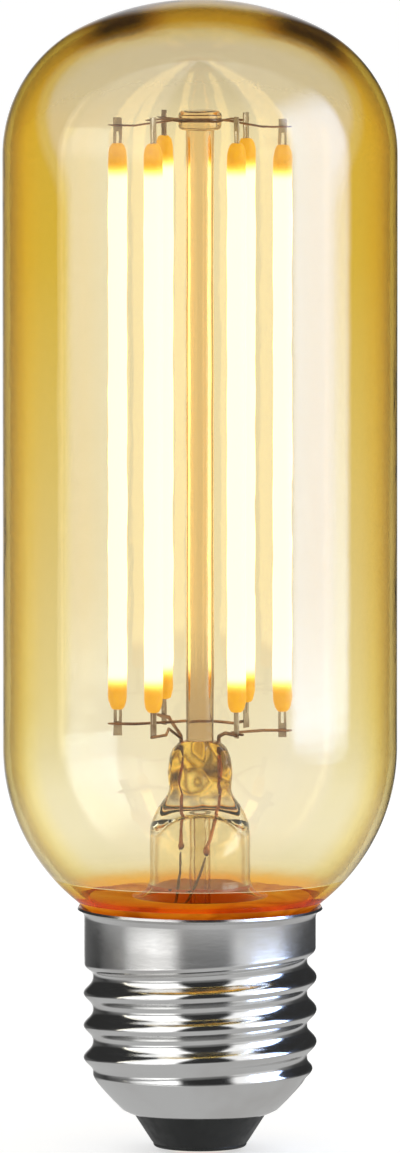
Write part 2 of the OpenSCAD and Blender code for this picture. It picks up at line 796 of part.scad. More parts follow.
function shell_row(a) = concat(
    [[lip_hole_d / 2, lip_z]],
    [for (s = shoulder_shares) [s[0] * root_r, lip_z + s[1] * shoulder_h]],
    [for (i = [0:thread_rows])
        let (z = thread_z + (thread_top_z - thread_z) * i / thread_rows)
        [thread_r(z, a), z]],
    [for (s = flare_shares)
        [collar_d / 2 + s[1] * (rim_d - collar_d) / 2, cap_h - rim_flare_h * (1 - s[0])]]
);
function inward(row, i) =
    let (d = row[min(i + 1, len(row) - 1)] - row[max(i - 1, 0)])
    row[i] + unit([-d[1], d[0]]) * sheet_t;
module cap_shell() {
    rows = [for (j = [0:shell_steps - 1]) shell_row(j * 360 / shell_steps)];
    high = len(rows[0]);
    loop = 2 * high;
    points = [for (j = [0:shell_steps - 1])
        let (a = j * 360 / shell_steps, row = rows[j])
        each concat(
            [for (p = row) concat(polar(p[0], a), [p[1]])],
            [for (i = [high - 1:-1:0])
                let (p = inward(row, i))
                concat(polar(p[0], a), [p[1]])]
        )];
    faces = [for (j = [0:shell_steps - 1])
        for (i = [0:loop - 1])
        let (p = j * loop, q = ((j + 1) % shell_steps) * loop, i2 = (i + 1) % loop)
        each [[p + i, p + i2, q + i2], [p + i, q + i2, q + i]]];
    color([0.78, 0.78, 0.8])
        polyhedron(points = points, faces = faces, convexity = 10);
}

// Insulator: a moulded cup with a groove that grips the edge of the shell's hole
module cap_insulator() {
    tip_r = insulator_tip_d / 2;
    top_r = insulator_top_d / 2;
    slope_r = (top_r - tip_r) / (lip_z - insulator_bottom_z);
    floor_r = tip_r - insulator_wall + slope_r * insulator_wall;
    edge_z = insulator_bottom_z + insulator_edge_r;
    color([0.13, 0.13, 0.13])
        difference() {
            rotate_extrude()
                difference() {
                    union() {
                        polygon([
                            [0, insulator_bottom_z],
                            [tip_r - insulator_edge_r, insulator_bottom_z],
                            [tip_r, edge_z], [top_r, lip_z - seat],
                            [groove_r, lip_z - seat], [groove_r, groove_top_z],
                            [flange_r, groove_top_z], [flange_r, insulator_top_z],
                            [0, insulator_top_z]
                        ]);
                        intersection() {
                            translate([tip_r - insulator_edge_r, edge_z])
                                circle(r = insulator_edge_r);
                            translate([0, insulator_bottom_z])
                                square([tip_r, insulator_edge_r]);
                        }
                    }
                    polygon([
                        [0, insulator_floor_z], [floor_r, insulator_floor_z],
                        [groove_r - insulator_wall, lip_z],
                        [groove_r - insulator_wall, insulator_top_z + over],
                        [0, insulator_top_z + over]
                    ]);
                }
            cylinder(d = shank_d + seat, h = insulator_floor_z + over);
        }
}

// Centre contact: a domed rivet with a flat, spread over the insulator's floor
module centre_contact() {
    dome_r = contact_d / 2;
    flat_r = contact_flat_d / 2;
    color([0.8, 0.66, 0.35])
        union() {
            cylinder(r1 = flat_r, r2 = dome_r, h = contact_proud - seat);
            cylinder(d = shank_d, h = insulator_floor_z + shank_head_h);
            translate([0, 0, insulator_floor_z + seat])
                cylinder(d = shank_head_d, h = shank_head_h - seat);
        }
}

// Driver board: a round board that fits inside the roots of the thread
module driver_board() {
    color([0.1, 0.42, 0.22])
        translate([0, 0, board_z])
            cylinder(r = board_r, h = board_t);
}
module bridge_rectifier() {
    color([0.12, 0.12, 0.12])
        translate([-board_r / 2 - rectifier_w / 2, -rectifier_d / 2, board_z - rectifier_h - seat])
            cube([rectifier_w, rectifier_d, rectifier_h]);
}
module smoothing_capacitor() {
    groove_z = board_z - seat - capacitor_l * groove_place_share;
    groove_deep = capacitor_d * groove_deep_share;
    color([0.2, 0.2, 0.24])
        translate([board_r / 2 - seat, 0, 0])
            difference() {
                translate([0, 0, board_z - seat - capacitor_l])
                    cylinder(d = capacitor_d, h = capacitor_l);
                translate([0, 0, groove_z])
                    rotate_extrude()
                        translate([capacitor_d / 2, 0])
                            circle(r = groove_deep);
            }
}
module driver_chip() {
    color([0.14, 0.14, 0.14])
        translate([board_r * chip_place_shares[0], board_r * chip_place_shares[1], board_top_z + seat])
            cube([chip_w, chip_d, chip_h]);
}

// Fuse resistor: it stands on the contact's spread head and carries the supply to the board
module fuse_resistor() {
    foot_z = insulator_floor_z + shank_head_h + seat;
    top_z = board_z - seat;
    body_z = (foot_z + top_z - resistor_l) / 2;
    color([0.3, 0.5, 0.35])
        union() {
            translate([0, 0, foot_z])
                cylinder(d = resistor_wire_d, h = top_z - foot_z);
            translate([0, 0, body_z])
                cylinder(d = resistor_d, h = resistor_l);
        }
}

// The cap wire runs from the board's edge to the inside of the shell
module cap_wire() {
    shell_r = root_r * facet_share - sheet_t - outer_lead_d / 2 - seat;
    board_place = polar(board_r - outer_lead_d * cap_wire_inset_share, cap_wire_angle);
    shell_place = polar(shell_r, cap_wire_angle);
    rises = [for (s = cap_wire_rise_shares) [board_top_z + outer_lead_d * s]];
    color([0.6, 0.5, 0.4])
        bent_wire([
            concat(board_place, [board_top_z + seat]),
            concat(board_place, rises[0]),
            concat(shell_place, rises[1]),
            concat(shell_place, rises[2])
        ], outer_lead_d, outer_lead_d);
}

glass_envelope();
glass_stem();
exhaust_tube();
glass_rod();
light_stick(0);  // light_stick_1
light_stick(1);  // light_stick_2
light_stick(2);  // light_stick_3
light_stick(3);  // light_stick_4
light_stick(4);  // light_stick_5
light_stick(5);  // light_stick_6
lower_tab(0);  // lower_tab_1
lower_tab(1);  // lower_tab_2
lower_tab(2);  // lower_tab_3
lower_tab(3);  // lower_tab_4
lower_tab(4);  // lower_tab_5
lower_tab(5);  // lower_tab_6
upper_tab(0);  // upper_tab_1
upper_tab(1);  // upper_tab_2
upper_tab(2);  // upper_tab_3
upper_tab(3);  // upper_tab_4
upper_tab(4);  // upper_tab_5
upper_tab(5);  // upper_tab_6
top_wire_front();
top_wire_middle();
top_wire_back();
left_inner_lead();
left_branch_wire();
right_inner_lead();
right_jumper();
rear_link_wire();
left_seal_wire();
right_seal_wire();
left_outer_lead();
right_outer_lead();
left_driver_wire();
right_driver_wire();
cap_wire();
capping_cement();
cap_shell();
cap_insulator();
centre_contact();
driver_board();
bridge_rectifier();
smoothing_capacitor();
driver_chip();
fuse_resistor();
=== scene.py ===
"""Tubular light bulb: its looks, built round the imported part, in metres and in its own frame."""

import math

import bpy
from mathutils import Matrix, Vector


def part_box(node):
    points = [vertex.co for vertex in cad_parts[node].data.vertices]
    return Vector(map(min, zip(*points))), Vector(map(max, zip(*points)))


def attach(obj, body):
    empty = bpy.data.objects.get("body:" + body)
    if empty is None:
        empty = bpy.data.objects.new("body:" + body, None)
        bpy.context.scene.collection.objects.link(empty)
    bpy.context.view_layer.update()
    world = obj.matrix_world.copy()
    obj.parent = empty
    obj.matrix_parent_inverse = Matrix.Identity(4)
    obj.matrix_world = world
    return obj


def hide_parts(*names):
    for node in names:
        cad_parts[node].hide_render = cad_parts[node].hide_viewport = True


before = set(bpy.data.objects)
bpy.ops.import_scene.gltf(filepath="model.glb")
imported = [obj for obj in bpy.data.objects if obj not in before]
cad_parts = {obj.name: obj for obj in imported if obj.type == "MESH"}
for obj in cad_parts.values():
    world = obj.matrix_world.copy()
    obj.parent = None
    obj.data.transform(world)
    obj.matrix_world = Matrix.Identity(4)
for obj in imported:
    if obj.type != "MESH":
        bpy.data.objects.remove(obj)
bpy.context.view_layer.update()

# The camera stands a little above the middle of the bulb, and so far away that upright lines look
# upright. It looks at the front, which faces -Y.
mm = 0.001
camera_distance = 1.8
camera_rise = math.radians(5.5)
looked_at_height = 64.7 * mm
seen_height = 129.1 * mm
sensor_side = 36

camera_data = bpy.data.cameras.new("camera")
camera_data.sensor_width = sensor_side
camera_data.lens = sensor_side * camera_distance / seen_height
camera = bpy.data.objects.new("camera", camera_data)
camera.location = (
    0,
    -camera_distance * math.cos(camera_rise),
    looked_at_height + camera_distance * math.sin(camera_rise),
)
camera.rotation_euler = (math.pi / 2 - camera_rise, 0, 0)
bpy.context.scene.collection.objects.link(camera)
bpy.context.scene.camera = camera
bpy.context.scene.view_settings.view_transform = "Standard"

# The studio: a white room, a pale table under the bulb and two soft boxes. What the bulb's metal
# and glass mirror is a pair of pale walls at the front left and right, with dark cloth between
# them, a pale table below the horizon and the white wall behind.
room_light = 0.62
table_radius = 3.0
table_colour = (0.8, 0.8, 0.79, 1)
table_glow = 0.58
far_glow = 0.51
glow_fades = (0.32, 0.42)
# Brightness of the room by its angle about the axis, in degrees from the camera towards +X; the cap
# and the foot of the glass mirror its lowest part
low_walls = [
    (-180, 1.0), (-174, 1.0), (-162, 0.13), (-122, 0.05), (-108, 0.18), (-84, 0.28), (-74, 1.0),
    (-58, 1.6), (-46, 1.9), (-30, 1.7), (-18, 0.24), (28, 0.2), (38, 0.8), (80, 0.78),
    (98, 0.25), (120, 0.08), (170, 0.06), (176, 1.0), (180, 1.0),
]
level_walls = [
    (-180, 1.0), (-174, 1.0), (-164, 0.15), (-122, 0.05), (-100, 0.12), (-84, 0.2), (-72, 0.34),
    (-28, 0.3), (-18, 0.15), (28, 0.15), (38, 0.5), (54, 0.8), (86, 0.8), (98, 0.2), (120, 0.06),
    (170, 0.04), (176, 1.0), (180, 1.0),
]
upper_walls = [
    (-180, 0.7), (-176, 0.7), (-172, 0.03), (-90, 0.03), (-80, 1.9), (-28, 1.9), (-20, 0.03),
    (30, 0.03), (38, 1.2), (84, 1.1), (96, 0.03), (172, 0.03), (176, 0.7), (180, 0.7),
]
ceiling = [
    (-180, 0.03), (-90, 0.03), (-80, 1.3), (-28, 1.4), (-20, 0.03), (30, 0.03), (38, 1.2),
    (84, 1.1), (96, 0.03), (180, 0.03),
]
table_brightness = 0.5
# Where one band of the room passes into the next, as the sine of the angle above the level
table_to_walls = (-0.34, -0.16)
low_to_level = (-0.119, -0.111)
level_to_upper = (-0.06, 0.16)
upper_to_ceiling = (0.28, 0.5)
table_sides = 96
# Most of a noise lies between these two values
noise_range = (0.3, 0.7)


def place(tree, kind, inputs=None, **settings):
    """Adds a shader node; inputs hold values or sockets by the input's name or number."""
    node = tree.nodes.new("ShaderNode" + kind)
    for key, value in settings.items():
        setattr(node, key, value)
    for key, value in (inputs or {}).items():
        if isinstance(value, bpy.types.NodeSocket):
            tree.links.new(value, node.inputs[key])
        else:
            node.inputs[key].default_value = value
    return node


def maths(tree, operation, *values):
    """A number worked out from values or sockets."""
    return place(tree, "Math", dict(enumerate(values)), operation=operation).outputs[0]


def grey(level):
    """A grey of a brightness, as a colour."""
    return (level, level, level, 1)


def ramp(tree, factor, stops, smooth="LINEAR"):
    """A colour ramp through stops of (place, colour or grey)."""
    node = place(tree, "ValToRGB", {"Fac": factor})
    node.color_ramp.interpolation = smooth
    elements = node.color_ramp.elements
    for number, (position, colour) in enumerate(stops):
        element = elements[number] if number < 2 else elements.new(position)
        element.position = position
        element.color = colour if isinstance(colour, tuple) else grey(colour)
    return node.outputs["Color"]


def span(tree, value, low, high, out_low=0.0, out_high=1.0):
    """Eases a value from one range to another."""
    inputs = {"Value": value, "From Min": low, "From Max": high,
              "To Min": out_low, "To Max": out_high}
    return place(tree, "MapRange", inputs, interpolation_type="SMOOTHSTEP").outputs["Result"]


def mixed(tree, factor, first, second, blend="MIX"):
    """Mixes two colours."""
    node = place(tree, "Mix", data_type="RGBA", blend_type=blend)
    for number, value in ((0, factor), (6, first), (7, second)):
        if isinstance(value, bpy.types.NodeSocket):
            tree.links.new(value, node.inputs[number])
        else:
            node.inputs[number].default_value = value
    return node.outputs[2]


def scaled(tree, colour, times):
    """A colour times a number."""
    return place(tree, "VectorMath", {0: colour, "Scale": times}, operation="SCALE").outputs[0]


def wall_ramp(tree, angle, walls):
    """The room's brightness round the axis, scaled down to a ramp's range and back."""
    top = max(bright for _, bright in walls)
    stops = [((degrees + 180) / 360, bright / top) for degrees, bright in walls]
    return scaled(tree, ramp(tree, angle, stops), top)


def seen_directly(tree):
    """1 for what the camera sees, also through glass, and 0 for any other light."""
    rays = place(tree, "LightPath").outputs
    return maths(tree, "MAXIMUM", rays["Is Camera Ray"], rays["Is Transmission Ray"])


def object_place(tree):
    """The place of a spot on its piece, in metres."""
    return place(tree, "TexCoord").outputs["Object"]


def coordinates(tree, spot):
    """The X, Y and Z of a place or a direction."""
    return place(tree, "SeparateXYZ", {0: spot}).outputs


def new_material(name):
    """A material with its node tree and its Principled shader."""
    material = bpy.data.materials.new(name)
    material.use_nodes = True
    tree = material.node_tree
    return material, tree, tree.nodes["Principled BSDF"]


room = bpy.data.worlds.new("studio_room")
bpy.context.scene.world = room
room.use_nodes = True
tree = room.node_tree
tree.nodes.clear()
direction = coordinates(tree, place(tree, "TexCoord").outputs["Generated"])
height = direction["Z"]
towards_camera = maths(tree, "MULTIPLY", direction["Y"], -1.0)
turned_by = maths(tree, "ARCTAN2", direction["X"], towards_camera)
round_axis = place(
    tree, "MapRange", {"Value": turned_by, "From Min": -math.pi, "From Max": math.pi}
).outputs["Result"]
lower_room = mixed(
    tree, span(tree, height, *low_to_level),
    wall_ramp(tree, round_axis, low_walls), wall_ramp(tree, round_axis, level_walls),
)
upper_room = mixed(
    tree, span(tree, height, *upper_to_ceiling),
    wall_ramp(tree, round_axis, upper_walls), wall_ramp(tree, round_axis, ceiling),
)
walls = mixed(tree, span(tree, height, *level_to_upper), lower_room, upper_room)
mirrored = mixed(tree, span(tree, height, *table_to_walls), grey(table_brightness), walls)
glossy = place(tree, "LightPath").outputs["Is Glossy Ray"]
lighting = mixed(tree, glossy, grey(room_light), mirrored)
colour = mixed(tree, seen_directly(tree), lighting, grey(1))
background = place(tree, "Background", {"Color": colour, "Strength": 1.0})
tree.links.new(background.outputs[0], place(tree, "OutputWorld").inputs["Surface"])

bpy.ops.object.select_all(action="DESELECT")
bpy.ops.mesh.primitive_circle_add(vertices=table_sides, radius=table_radius, fill_type="NGON")
table = bpy.context.object
table.name = "table"
paper, tree, shader = new_material("table_paper")
fibres = place(tree, "TexNoise", {"Scale": 900.0, "Detail": 3.0}).outputs["Fac"]
shader.inputs["Base Color"].default_value = table_colour
tree.links.new(span(tree, fibres, *noise_range, 0.62, 0.7), shader.inputs["Roughness"])
shader.inputs["Specular IOR Level"].default_value = 0.0
# The table glows for the camera and through glass, brighter near the bulb: a painted pool of light
away = place(tree, "VectorMath", {0: object_place(tree)}, operation="LENGTH").outputs["Value"]
level = span(tree, away, *glow_fades, table_glow, far_glow)
glow = maths(tree, "MULTIPLY", seen_directly(tree), level)
shader.inputs["Emission Color"].default_value = grey(1)
tree.links.new(glow, shader.inputs["Emission Strength"])
table.data.materials.append(paper)
table.visible_glossy = False

# (name, degrees from the camera towards +X, width in metres, watts, colour)
soft_boxes = [
    ("soft_box_right", 75, 0.31, 2.9, (0.42, 0.58, 1.0)),
    ("strip_box_left", -87, 0.035, 0.075, (1.0, 0.95, 0.8)),
]
# Each box stands this far from the axis, and its light fades towards all four of its sides
soft_box_distance = 0.36
soft_box_foot = 0.002
soft_box_top = 0.5
soft_side_share = 0.15
soft_foot = 0.014
soft_top = 0.22
for name, degrees, width, watts, colour in soft_boxes:
    lamp = bpy.data.lights.new(name, "AREA")
    lamp.shape = "RECTANGLE"
    lamp.size = width
    lamp.size_y = soft_box_top - soft_box_foot
    lamp.energy = watts
    lamp.color = colour
    box = bpy.data.objects.new(name, lamp)
    box.visible_diffuse = False
    box.visible_camera = False
    angle = math.radians(degrees)
    box.location = (
        soft_box_distance * math.sin(angle), -soft_box_distance * math.cos(angle),
        (soft_box_foot + soft_box_top) / 2,
    )
    box.rotation_euler = (math.pi / 2, 0, angle)
    bpy.context.scene.collection.objects.link(box)
    lamp.use_nodes = True
    tree = lamp.node_tree
    spot = place(tree, "NewGeometry").outputs["Position"]
    level = coordinates(tree, spot)["Z"]
    along = place(
        tree, "VectorMath", {0: spot, 1: (math.cos(angle), math.sin(angle), 0)},
        operation="DOT_PRODUCT",
    ).outputs["Value"]
    faded = 1.0
    half = width / 2
    for value, outer, inner in (
        (level, soft_box_foot, soft_box_foot + soft_foot),
        (level, soft_box_top, soft_box_top - soft_top),
        (along, -half, -half + soft_side_share * width),
        (along, half, half - soft_side_share * width),
    ):
        faded = maths(tree, "MULTIPLY", span(tree, value, outer, inner), faded)
    tree.links.new(faded, tree.nodes["Emission"].inputs["Strength"])

# Glass stem: a flare tube whose top is pressed flat round the two leads while it is soft, so that
# its bore ends in a low vault. Its foot is spread into a rim that is fused to the bulb's neck,
# where the glass is thick and deep orange, and glows with painted light.
flare_radius = 5.65 * mm
flare_wall = 0.55 * mm
flare_bend = 2.0 * mm
flare_rim_height = 28.2 * mm
flare_rim_radius = 12.45 * mm
rim_inset = 0.25 * mm
rim_edge = 0.2 * mm
rim_taper = 0.05 * mm
pinch_top = 46.3 * mm
pinch_foot = 39.8 * mm
pinch_half_width = 3.5 * mm
pinch_half_thickness = 1.5 * mm
pinch_corner = 2.1 * mm
pinch_flat = 1.2 * mm
press_start = 33.0 * mm
press_squareness = 6
press_grip = 3
shoulder_start = 34.9 * mm
shoulder_end = 41.2 * mm
shoulder_fullness = 1.5
bore_top = 37.85 * mm
vault = 2.2 * mm
vault_steps = 9
exhaust_hole = 0.65 * mm
glass_sides = 160
pole = 0.01 * mm


def arc(centre, radius, start, stop, count):
    """Points (radius, height) of an arc, between two angles in degrees from the level."""
    steps = [math.radians(start + (stop - start) * n / count) for n in range(count + 1)]
    return [(centre[0] + radius * math.cos(a), centre[1] + radius * math.sin(a)) for a in steps]


def run(start, stop, count):
    """Points on a straight line between two corners, without its ends."""
    return [
        tuple(a + (b - a) * n / count for a, b in zip(start, stop)) for n in range(1, count)
    ]


def turned(name, profile, sides=glass_sides):
    """A piece turned round the axis: a ring that is extruded and scaled from point to point."""
    bpy.ops.object.select_all(action="DESELECT")
    radius, level = profile[0]
    bpy.ops.mesh.primitive_circle_add(vertices=sides, radius=radius, location=(0, 0, level))
    piece = bpy.context.object
    piece.name = piece.data.name = name
    bpy.ops.object.transform_apply(location=True, rotation=False, scale=False)
    bpy.ops.object.mode_set(mode="EDIT")
    for next_radius, next_level in profile[1:]:
        rise = (0, 0, next_level - level)
        bpy.ops.mesh.extrude_region_move(TRANSFORM_OT_translate={"value": rise})
        grow = next_radius / radius
        bpy.ops.transform.resize(value=(grow, grow, 1), center_override=(0, 0, next_level))
        radius, level = next_radius, next_level
    bpy.ops.object.mode_set(mode="OBJECT")
    return piece


def close_up(piece, angle=35, gap=0.012 * mm):
    """Merges the seams and poles, turns the faces outwards and smooths the shading."""
    bpy.ops.object.select_all(action="DESELECT")
    piece.select_set(True)
    bpy.context.view_layer.objects.active = piece
    bpy.ops.object.mode_set(mode="EDIT")
    bpy.ops.mesh.select_all(action="SELECT")
    bpy.ops.mesh.remove_doubles(threshold=gap)
    bpy.ops.mesh.normals_make_consistent(inside=False)
    bpy.ops.object.mode_set(mode="OBJECT")
    bpy.ops.object.shade_smooth_by_angle(angle=math.radians(angle))
    return piece


def apply_modifiers(piece):
    """Applies the modifiers of a piece in their order."""
    bpy.context.view_layer.objects.active = piece
    for modifier in list(piece.modifiers):
        bpy.ops.object.modifier_apply(modifier=modifier.name)


def ease(share):
    """A smooth step from 0 to 1."""
    share = max(0.0, min(1.0, share))
    return share * share * (3 - 2 * share)


def noise(tree, spot, scale, detail, **others):
    """A noise with so many waves to a metre; others are more inputs of its node, by name."""
    inputs = {"Vector": spot, "Scale": scale, "Detail": detail, **others}
    return place(tree, "TexNoise", inputs).outputs["Fac"]


# Glass that was worked soft is never quite even: it has slow waves, and fine lines along the axis
# in which it was drawn, which this group gives as a height for a bump
glass_flow = bpy.data.node_groups.new("glass_flow", "ShaderNodeTree")
glass_flow.interface.new_socket("Waves", in_out="INPUT", socket_type="NodeSocketFloat")
glass_flow.interface.new_socket("Lines", in_out="INPUT", socket_type="NodeSocketFloat")
glass_flow.interface.new_socket("Height", in_out="OUTPUT", socket_type="NodeSocketFloat")
group_in = glass_flow.nodes.new("NodeGroupInput")
group_out = glass_flow.nodes.new("NodeGroupOutput")
spot = object_place(glass_flow)
drawn = place(glass_flow, "Mapping", {"Vector": spot, "Scale": (1.0, 1.0, 0.06)}).outputs[0]
waves = noise(glass_flow, spot, 160.0, 2.0)
lines = noise(glass_flow, drawn, 1100.0, 2.0)
wave_part = maths(glass_flow, "MULTIPLY", waves, group_in.outputs["Waves"])
both = maths(glass_flow, "MULTIPLY_ADD", lines, group_in.outputs["Lines"], wave_part)
glass_flow.links.new(both, group_out.inputs["Height"])


def shaded_outline_tint(tree, face, edge, starts, full):
    """A tint that deepens towards a piece's outline, as painted shade."""
    facing = place(tree, "LayerWeight", {"Blend": 0.5}).outputs["Facing"]
    return mixed(tree, span(tree, facing, starts, full), face, edge)


def rising_shaded_tint(tree, face, edge, foot, foot_edge, levels, facings):
    """A tint that deepens towards the outline as painted shade, and passes from the foot's tints to
    the others.
    """
    level = coordinates(tree, object_place(tree))["Z"]
    return mixed(
        tree, span(tree, level, *levels),
        shaded_outline_tint(tree, foot, foot_edge, *facings),
        shaded_outline_tint(tree, face, edge, *facings),
    )


def bump_normal(tree, height, strength, distance):
    """The normal of a surface that is bumped by a height, over a distance in metres."""
    inputs = {"Height": height, "Strength": strength, "Distance": distance}
    return place(tree, "Bump", inputs).outputs["Normal"]


def flowing(tree, waves, lines, distance):
    """The normal of worked glass, from how strong its waves and its draw lines are."""
    node = place(tree, "Group", {"Waves": waves, "Lines": lines}, node_tree=glass_flow)
    return bump_normal(tree, node.outputs["Height"], 1.0, distance)


def clear_glass(tree, shader, tint, flow):
    """Makes a shader clear glass with a tint, and with the waves and lines of its working."""
    tree.links.new(tint, shader.inputs["Base Color"])
    shader.inputs["Roughness"].default_value = 0.0
    shader.inputs["IOR"].default_value = 1.5
    shader.inputs["Transmission Weight"].default_value = 1.0
    tree.links.new(flowing(tree, *flow), shader.inputs["Normal"])


def low_index_glass(material, name, index):
    """A copy of a glass with a lower index of refraction, which mirrors and bends light less."""
    glass = material.copy()
    glass.name = name
    glass.node_tree.nodes["Principled BSDF"].inputs["IOR"].default_value = index
    return glass


def glass_material(name, face, edge, foot, foot_edge, levels, facings, flow):
    """Clear drawn glass whose tint deepens towards its outline as painted shade, and changes
    towards its foot.
    """
    material, tree, shader = new_material(name)
    tint = rising_shaded_tint(tree, face, edge, foot, foot_edge, levels, facings)
    clear_glass(tree, shader, tint, flow)
    return material


def outer_stem_radius(level):
    """The stem's outer radius at a height: the tube, then a soft shoulder to the pinch."""
    share = max(0.0, min(1.0, (level - shoulder_start) / (shoulder_end - shoulder_start)))
    return flare_radius + (pinch_half_width - flare_radius) * ease(share**shoulder_fullness)


stem_rows = 44
stem_levels = [
    shoulder_start + (pinch_top - pinch_corner - shoulder_start) * n / stem_rows
    for n in range(stem_rows)
]
bend_centre = (flare_radius + flare_bend, flare_rim_height + flare_wall + flare_bend)
corner_centre = (pinch_half_width - pinch_corner, pinch_top - pinch_corner)
stem_profile = (
    [(flare_rim_radius - rim_inset, flare_rim_height),
     (flare_rim_radius, flare_rim_height + rim_edge),
     (flare_rim_radius - rim_taper, flare_rim_height + flare_wall)]
    + arc(bend_centre, flare_bend, -90, -180, 10)
    + run((flare_radius, bend_centre[1]), (flare_radius, shoulder_start), 20)
    + [(outer_stem_radius(level), level) for level in stem_levels]
    + arc(corner_centre, pinch_corner, 0, 90, 8)
    + [(pinch_flat, pinch_top), (pole, pinch_top)]
)
bore_radius = flare_radius - flare_wall
vault_radius = outer_stem_radius(bore_top - vault) - flare_wall
vault_turns = [math.pi / 2 * n / vault_steps for n in range(1, vault_steps)]
bore_profile = (
    [(pole, bore_top), (exhaust_hole, bore_top)]
    + [(exhaust_hole + (vault_radius - exhaust_hole) * math.sin(turn),
        bore_top - vault * (1 - math.cos(turn))) for turn in vault_turns]
    + [(outer_stem_radius(level) - flare_wall, level)
       for level in reversed(stem_levels) if level < bore_top - vault]
    + run((bore_radius, shoulder_start), (bore_radius, bend_centre[1]), 20)
    + arc(bend_centre, flare_bend + flare_wall, -180, -90, 10)
    + [(flare_rim_radius - rim_inset, flare_rim_height)]
)
stem = turned("stem_glass_pressed", stem_profile + bore_profile)
# Lumps that the press leaves on the pinch: (height, waves across, waves up, shift in front, shift
# behind), in millimetres and radians; they and a slight waist set in round the pinch's foot
pinch_lumps = [
    (0.3, 0.95, 0.8, 0.6, 0.6), (0.2, 0, 1.1, -0.4, -0.4), (0.16, 1.7, -1.1, -1.2, 1.2),
]
lumps_start = -1.5
lumps_full = 1.5
waist_share = 0.04
waist_wave = 1.1
waist_shift = -1.4
for corner in stem.data.vertices:
    x, y, level = corner.co
    away = math.hypot(x, y)
    if level <= press_start or away < 2 * pole:
        continue
    inside = level <= bore_top and outer_stem_radius(level) - away > flare_wall / 2
    pressed = ease((level - press_start) / (pinch_foot - press_start))
    half = flare_radius * (1 - pressed) + pinch_half_thickness * pressed
    if inside:
        half -= flare_wall
    flat = y / (1 + abs(y / half) ** press_squareness) ** (1 / press_squareness)
    corner.co.y = y + (flat - y) * ease(pressed * press_grip)
    if not inside:
        up = (level - pinch_foot) / mm
        across = x / mm
        swell = sum(
            lump * math.sin(wave_across * across + wave_up * up + (front if y < 0 else behind))
            for lump, wave_across, wave_up, front, behind in pinch_lumps
        )
        set_in = ease((up - lumps_start) / (lumps_full - lumps_start))
        corner.co.y += math.copysign(swell * mm, y) * set_in * min(1, abs(y) / mm)
        corner.co.x *= 1 + waist_share * math.sin(waist_wave * up + waist_shift) * set_in
close_up(stem, 30)
clear_stem, tree, shader = new_material("stem_glass")
spot = object_place(tree)
# The stem's tint deepens to brown at its outline, as painted shade, and turns orange at its foot
tube_tint = rising_shaded_tint(
    tree, (0.97, 0.92, 0.77, 1), (0.45, 0.28, 0.1, 1),
    (0.96, 0.62, 0.2, 1), (0.8, 0.36, 0.07, 1),
    (flare_rim_height + 0.7 * mm, flare_rim_height + 2.4 * mm), (0.5, 0.72),
)
# In the pinch a noise gives dark and golden swirls: painted glints and shade
upright = place(tree, "Mapping", {"Vector": spot, "Scale": (1.0, 1.0, 0.55)}).outputs[0]
glint_swirls = noise(tree, upright, 240.0, 1.0, Distortion=1.6)
pinch_glints_and_shade = ramp(tree, glint_swirls, [
    (0.36, (0.05, 0.02, 0.002, 1)), (0.44, (0.4, 0.2, 0.02, 1)), (0.5, (0.95, 0.62, 0.1, 1)),
    (0.56, (0.22, 0.1, 0.01, 1)), (0.66, (0.97, 0.75, 0.25, 1)),
], "EASE")
glint_levels = (pinch_foot - 2.6 * mm, pinch_foot + 1.5 * mm)
glint_share = span(tree, coordinates(tree, spot)["Z"], *glint_levels)
clear_glass(tree, shader, mixed(tree, glint_share, tube_tint, pinch_glints_and_shade), (0.12, 0.03, 0.25 * mm))
shader.inputs["Specular IOR Level"].default_value = 0.3
stem.data.materials.append(clear_stem)
# The fused glass glows by this much: painted light, standing for the sticks' light inside it
fused_painted_glow = 0.2


def fused_material(name, deep, mid, pale, gloss):
    """Glass fused over cement: cloudy, orange with streaks, and glowing with painted light in place
    of the sticks' light.
    """
    material, tree, shader = new_material(name)
    streaks = noise(tree, object_place(tree), 130.0, 3.0, Distortion=0.8)
    tint = ramp(tree, streaks, [(0.35, deep), (0.5, mid), (0.65, pale)])
    tree.links.new(tint, shader.inputs["Base Color"])
    tree.links.new(tint, shader.inputs["Emission Color"])
    shader.inputs["Emission Strength"].default_value = fused_painted_glow
    shader.inputs["Roughness"].default_value = 0.25
    shader.inputs["Specular IOR Level"].default_value = gloss
    tree.links.new(flowing(tree, 0.3, 0.02, 0.25 * mm), shader.inputs["Normal"])
    return material


stem.data.materials.append(fused_material(
    "fused_rim_glass", (0.7, 0.2, 0.015, 1), (0.95, 0.36, 0.04, 1), (1.0, 0.5, 0.08, 1), 0.0
))
stem.data.materials.append(low_index_glass(clear_stem, "stem_foot_glass", 1.1))
# The rim takes the fused glass and its painted glow, and so does the far side of the bore at the
# foot, which shows through the near side as painted orange light; the rest of the foot has a low
# index, so that no reflection hides the orange
foot_height = 1.6 * mm
fused_across = 0.98 * (flare_radius + flare_bend)
far_side = -1 * mm
for face in stem.data.polygons:
    if face.center.z > flare_rim_height + foot_height:
        continue
    across = math.hypot(face.center.x, face.center.y)
    outwards = face.normal.dot(face.center * Vector((1, 1, 0)))
    far_bore = (face.normal.z < -0.1 or outwards < 0) and face.center.y > far_side
    face.material_index = 1 if across > fused_across or far_bore else 2
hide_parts("glass_stem")
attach(stem, "root")

